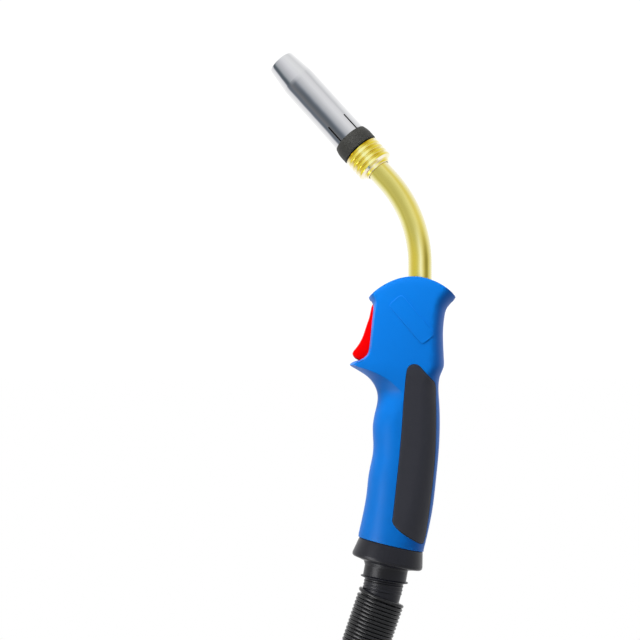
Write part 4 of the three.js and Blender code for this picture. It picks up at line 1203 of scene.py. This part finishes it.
def bend_spring():
    """Close-wound spring: one wire in a helix."""
    path = []
    for i in range(COIL_STEPS * COIL_TURNS + 1):
        turn = i / COIL_STEPS
        angle = math.radians(4) - 2 * math.pi * turn
        lift = COIL_LIFT * max(0.0, 1 - turn / 0.55) ** 1.3
        travel = (SPRING_LENGTH - 2 * WIRE_RADIUS - 0.04) * turn / COIL_TURNS
        path.append(Vector((COIL_RADIUS * math.cos(angle), COIL_RADIUS * math.sin(angle),
                            WIRE_RADIUS + 0.02 - lift + travel)))
    verts = [point for spot in frames_on(path) for point in ring(spot, WIRE_RADIUS, 14)]
    faces = band_faces(len(path), 14) + cap_faces(len(path), 14)
    return make("bend_spring_wound", verts, faces, LOOKS["spring_steel"], 60, SPRING_FRAME)


place(rear_collar(), "rear_collar")
place(ball_stem(), "ball_stem")
place(bend_spring(), "bend_spring")

# ------------------------------------------------------------------ cable
CABLE_END = SPRING_LENGTH + 26      # z in the spring's frame
STEM_LEAVE, SPRING_JOIN = 20.5, 4   # where the cable's curve starts and ends
STRANDS, STRAND_RADIUS, STRAND_RING = 20, 0.71, 4.66
STRAND_LAY = 70                     # length of one full twist
STRAND_SIDES = 8


def cable_path(extra=0.0):
    """Centre line through the stem and the spring, ending `extra` past the cable's end."""
    path = [STEM_FRAME @ Vector((0, 0, z)) for z in np.linspace(2.0, STEM_LEAVE, 6)]
    start = STEM_FRAME @ Vector((0, 0, STEM_LEAVE))
    end = SPRING_FRAME @ Vector((0, 0, SPRING_JOIN))
    gap = (end - start).length
    for s in (0.2, 0.4, 0.6, 0.8):
        path.append(start * (2 * s ** 3 - 3 * s * s + 1)
                    + STEM_DIR * gap * (s ** 3 - 2 * s * s + s)
                    + end * (3 * s * s - 2 * s ** 3) + SPRING_DIR * gap * (s ** 3 - s * s))
    for z in np.linspace(SPRING_JOIN, CABLE_END + extra, 30):
        path.append(SPRING_FRAME @ Vector((0, 0, z)))
    return path


def conductor():
    """A ring of twisted strands around the gas hose."""
    frames = frames_on(cable_path(0.6))
    distances = travelled(frames)
    verts, faces = [], []
    for strand in range(STRANDS):
        first = len(verts)
        for spot, distance in zip(frames, distances):
            angle = 2 * math.pi * strand / STRANDS + distance / STRAND_LAY * 2 * math.pi
            centre = polar(spot, STRAND_RING, angle)
            verts += ring((centre, *spot[1:]), STRAND_RADIUS, STRAND_SIDES, angle)
        faces += band_faces(len(frames), STRAND_SIDES, start=first)
        faces += cap_faces(len(frames), STRAND_SIDES, start=first)
    return make("conductor_strands", verts, faces, LOOKS["copper"], 50)


def wire_liner(seg=20):
    """Close-wound spiral tube."""
    coarse = cable_path(3.0)
    path = []
    for start, end in zip(coarse, coarse[1:]):
        steps = max(1, int((end - start).length / 0.3))
        path += [start.lerp(end, j / steps) for j in range(steps)]
    path.append(coarse[-1])
    frames = frames_on(path)
    verts = []
    for spot, distance in zip(frames, travelled(frames)):
        for k in range(seg):
            angle = 2 * math.pi * k / seg
            radius = 2.1 + 0.14 * math.cos(2 * math.pi * distance / 1.2 - angle)
            verts.append(polar(spot, radius, angle))
    for spot in (frames[-1], frames[0]):    # the bore
        verts += ring(spot, 1.2, seg)
    faces = band_faces(len(frames) + 2, seg, closed=True)
    return make("wire_liner_spiral", verts, faces, LOOKS["steel"], 50)


place(pipe("cable_jacket_skin", cable_path(), 8.5, 6.9, LOOKS["cable_rubber"], 72, edge=0.35),
      "cable_jacket")
place(conductor(), "cable_conductor")
place(pipe("gas_hose_tube", cable_path(1.5), 3.55, 2.6, LOOKS["nylon_natural"], 40, edge=0.2),
      "cable_gas_hose")
place(wire_liner(), "wire_liner")
for letter, side, slot in (("a", -1, "core_red"), ("b", 1, "core_yellow")):
    core_path = [point + Vector((0, side * 6.15, 0)) for point in cable_path(0.6)]
    place(pipe(f"control_core_{letter}_wire", core_path, 0.58, 0, LOOKS[slot], 14, edge=0.1),
          f"control_core_{letter}")

# CAD nodes kept as they are
for node, piece in frame["nodes"].items():
    if node not in placed_nodes:
        piece.data.materials.clear()
        piece.data.materials.append(LOOKS[SLOT_OF[node]])

# ------------------------------------------------------------------ floor (metres from here)
FLOOR_HALF = 12.0
FLOOR_Z = -0.0006


def floor_material():
    """Matt near the middle, fading to an even glow further out."""
    look = bpy.data.materials.new("pale_floor")
    look.use_nodes = True
    tree = look.node_tree
    matt = tree.nodes["Principled BSDF"]
    matt.inputs["Base Color"].default_value = (0.9, 0.9, 0.9, 1)
    matt.inputs["Roughness"].default_value = 0.9
    glow = add_node(tree, "Emission", {"Strength": 1.0})
    coords = add_node(tree, "TexCoord").outputs["Object"]
    distance = add_node(tree, "VectorMath", {0: coords}, operation="LENGTH").outputs["Value"]
    fade = add_range(tree, distance, source=(0.10, 0.42), smooth=True)
    mixed = add_node(tree, "MixShader", {0: fade, 1: matt, 2: glow})
    tree.links.new(mixed.outputs[0], tree.nodes["Material Output"].inputs[0])
    return look


low_corner, high_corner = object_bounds()
centre = (low_corner + high_corner) / 2
floor_mesh = bpy.data.meshes.new("floor")
floor_mesh.from_pydata([(x * FLOOR_HALF, y * FLOOR_HALF, FLOOR_Z)
                        for x, y in ((-1, -1), (1, -1), (1, 1), (-1, 1))], [], [(0, 1, 2, 3)])
floor = bpy.data.objects.new("floor", floor_mesh)
bpy.context.scene.collection.objects.link(floor)
floor_mesh.materials.append(floor_material())
floor.visible_glossy = False
floor.visible_diffuse = False
floor.visible_shadow = False        # the low light stands under it


# ------------------------------------------------------------------ lights
def area_light(name, location, target, size, power, size_y=None, colour=WHITE):
    light = bpy.data.lights.new(name, "AREA")
    light.energy = power
    light.size = size
    light.color = colour
    if size_y:
        light.shape = "RECTANGLE"
        light.size_y = size_y
    lamp = bpy.data.objects.new(name, light)
    bpy.context.scene.collection.objects.link(lamp)
    lamp.location = location
    lamp.rotation_euler = (target - location).to_track_quat("-Z", "Y").to_euler()
    lamp.visible_camera = False
    return lamp


# name, place from the torch's centre, size, power in watts, colour
LIGHTS = (
    ("key", (-0.12, -0.22, 0.30), 0.2, 2.5, WHITE),
    ("fill", (0.2, -1.2, 0.5), 0.9, 0.3, WHITE),
    ("top", (-0.1, 0.1, 1.3), 1.0, 5, WHITE),
    ("back", (0.9, 1.0, 0.3), 1.0, 5, WHITE),
    ("under", (-1.5, -0.25, -1.7), 1.0, 21, WHITE),
    ("side", (1.1, -0.6, 0.2), 0.6, 3.2, (0.72, 0.9, 1.2)),
)
for name, offset, size, power, colour in LIGHTS:
    lamp = area_light(name, centre + Vector(offset), centre, size, power, colour=colour)
    lamp.visible_glossy = False

# a strip on the camera's left, aimed at the spring, that shows only in reflections
spring_spot = to_scene(SPRING_TOP + SPRING_DIR * 30)
strip = area_light("strip", spring_spot + Vector((-0.81, -0.59, 0.0)) * 0.15, spring_spot,
                   size=0.075, power=0.34, size_y=0.21)
strip.visible_diffuse = False


# ------------------------------------------------------------------ world
def build_world():
    """Mirrors see the graded room, diffuse rays a dim one and the camera near-white."""
    world = bpy.data.worlds.new("studio")
    bpy.context.scene.world = world
    tree = empty_tree(world)
    coords = add_node(tree, "TexCoord").outputs["Generated"]
    depth = add_node(tree, "SeparateXYZ", {0: coords}).outputs["Y"]
    room = add_ramp(tree, add_range(tree, depth, source=(-1, 1)),
                    [(y / 2 + 0.5, [level] * 3) for y, level in SKY])
    if hasattr(world, "cycles"):    # present only while the Cycles add-on is enabled
        world.cycles.sampling_method = "NONE"
    mirrored = add_node(tree, "Background", {0: room})
    diffuse = add_node(tree, "Background", {"Color": (1, 1, 1, 1), "Strength": 0.135})
    seen = add_node(tree, "Background", {"Color": (1, 1, 1, 1), "Strength": 1.05})
    rays = add_node(tree, "LightPath").outputs
    lighting = add_node(tree, "MixShader", {0: rays["Is Glossy Ray"], 1: diffuse, 2: mirrored})
    mixed = add_node(tree, "MixShader", {0: rays["Is Camera Ray"], 1: lighting, 2: seen})
    add_node(tree, "OutputWorld", {0: mixed})


build_world()

# ------------------------------------------------------------------ camera
VIEW_CENTRE = to_scene((-59.0, 0, -25.4))
VIEW_DISTANCE = 1.9
VIEW_WIDTH = 0.3776     # width in view at that distance
SENSOR = 36

camera = bpy.data.cameras.new("camera")
camera_object = bpy.data.objects.new("camera", camera)
bpy.context.scene.collection.objects.link(camera_object)
camera_object.location = VIEW_CENTRE + Vector((0, -VIEW_DISTANCE, 0))
camera_object.rotation_euler = (math.radians(90), 0, 0)
camera.sensor_width = SENSOR
camera.sensor_fit = "HORIZONTAL"
camera.lens = SENSOR * VIEW_DISTANCE / VIEW_WIDTH
camera.clip_start = 0.01
camera.clip_end = 50
bpy.context.scene.camera = camera_object
bpy.context.scene.view_settings.view_transform = "Standard"
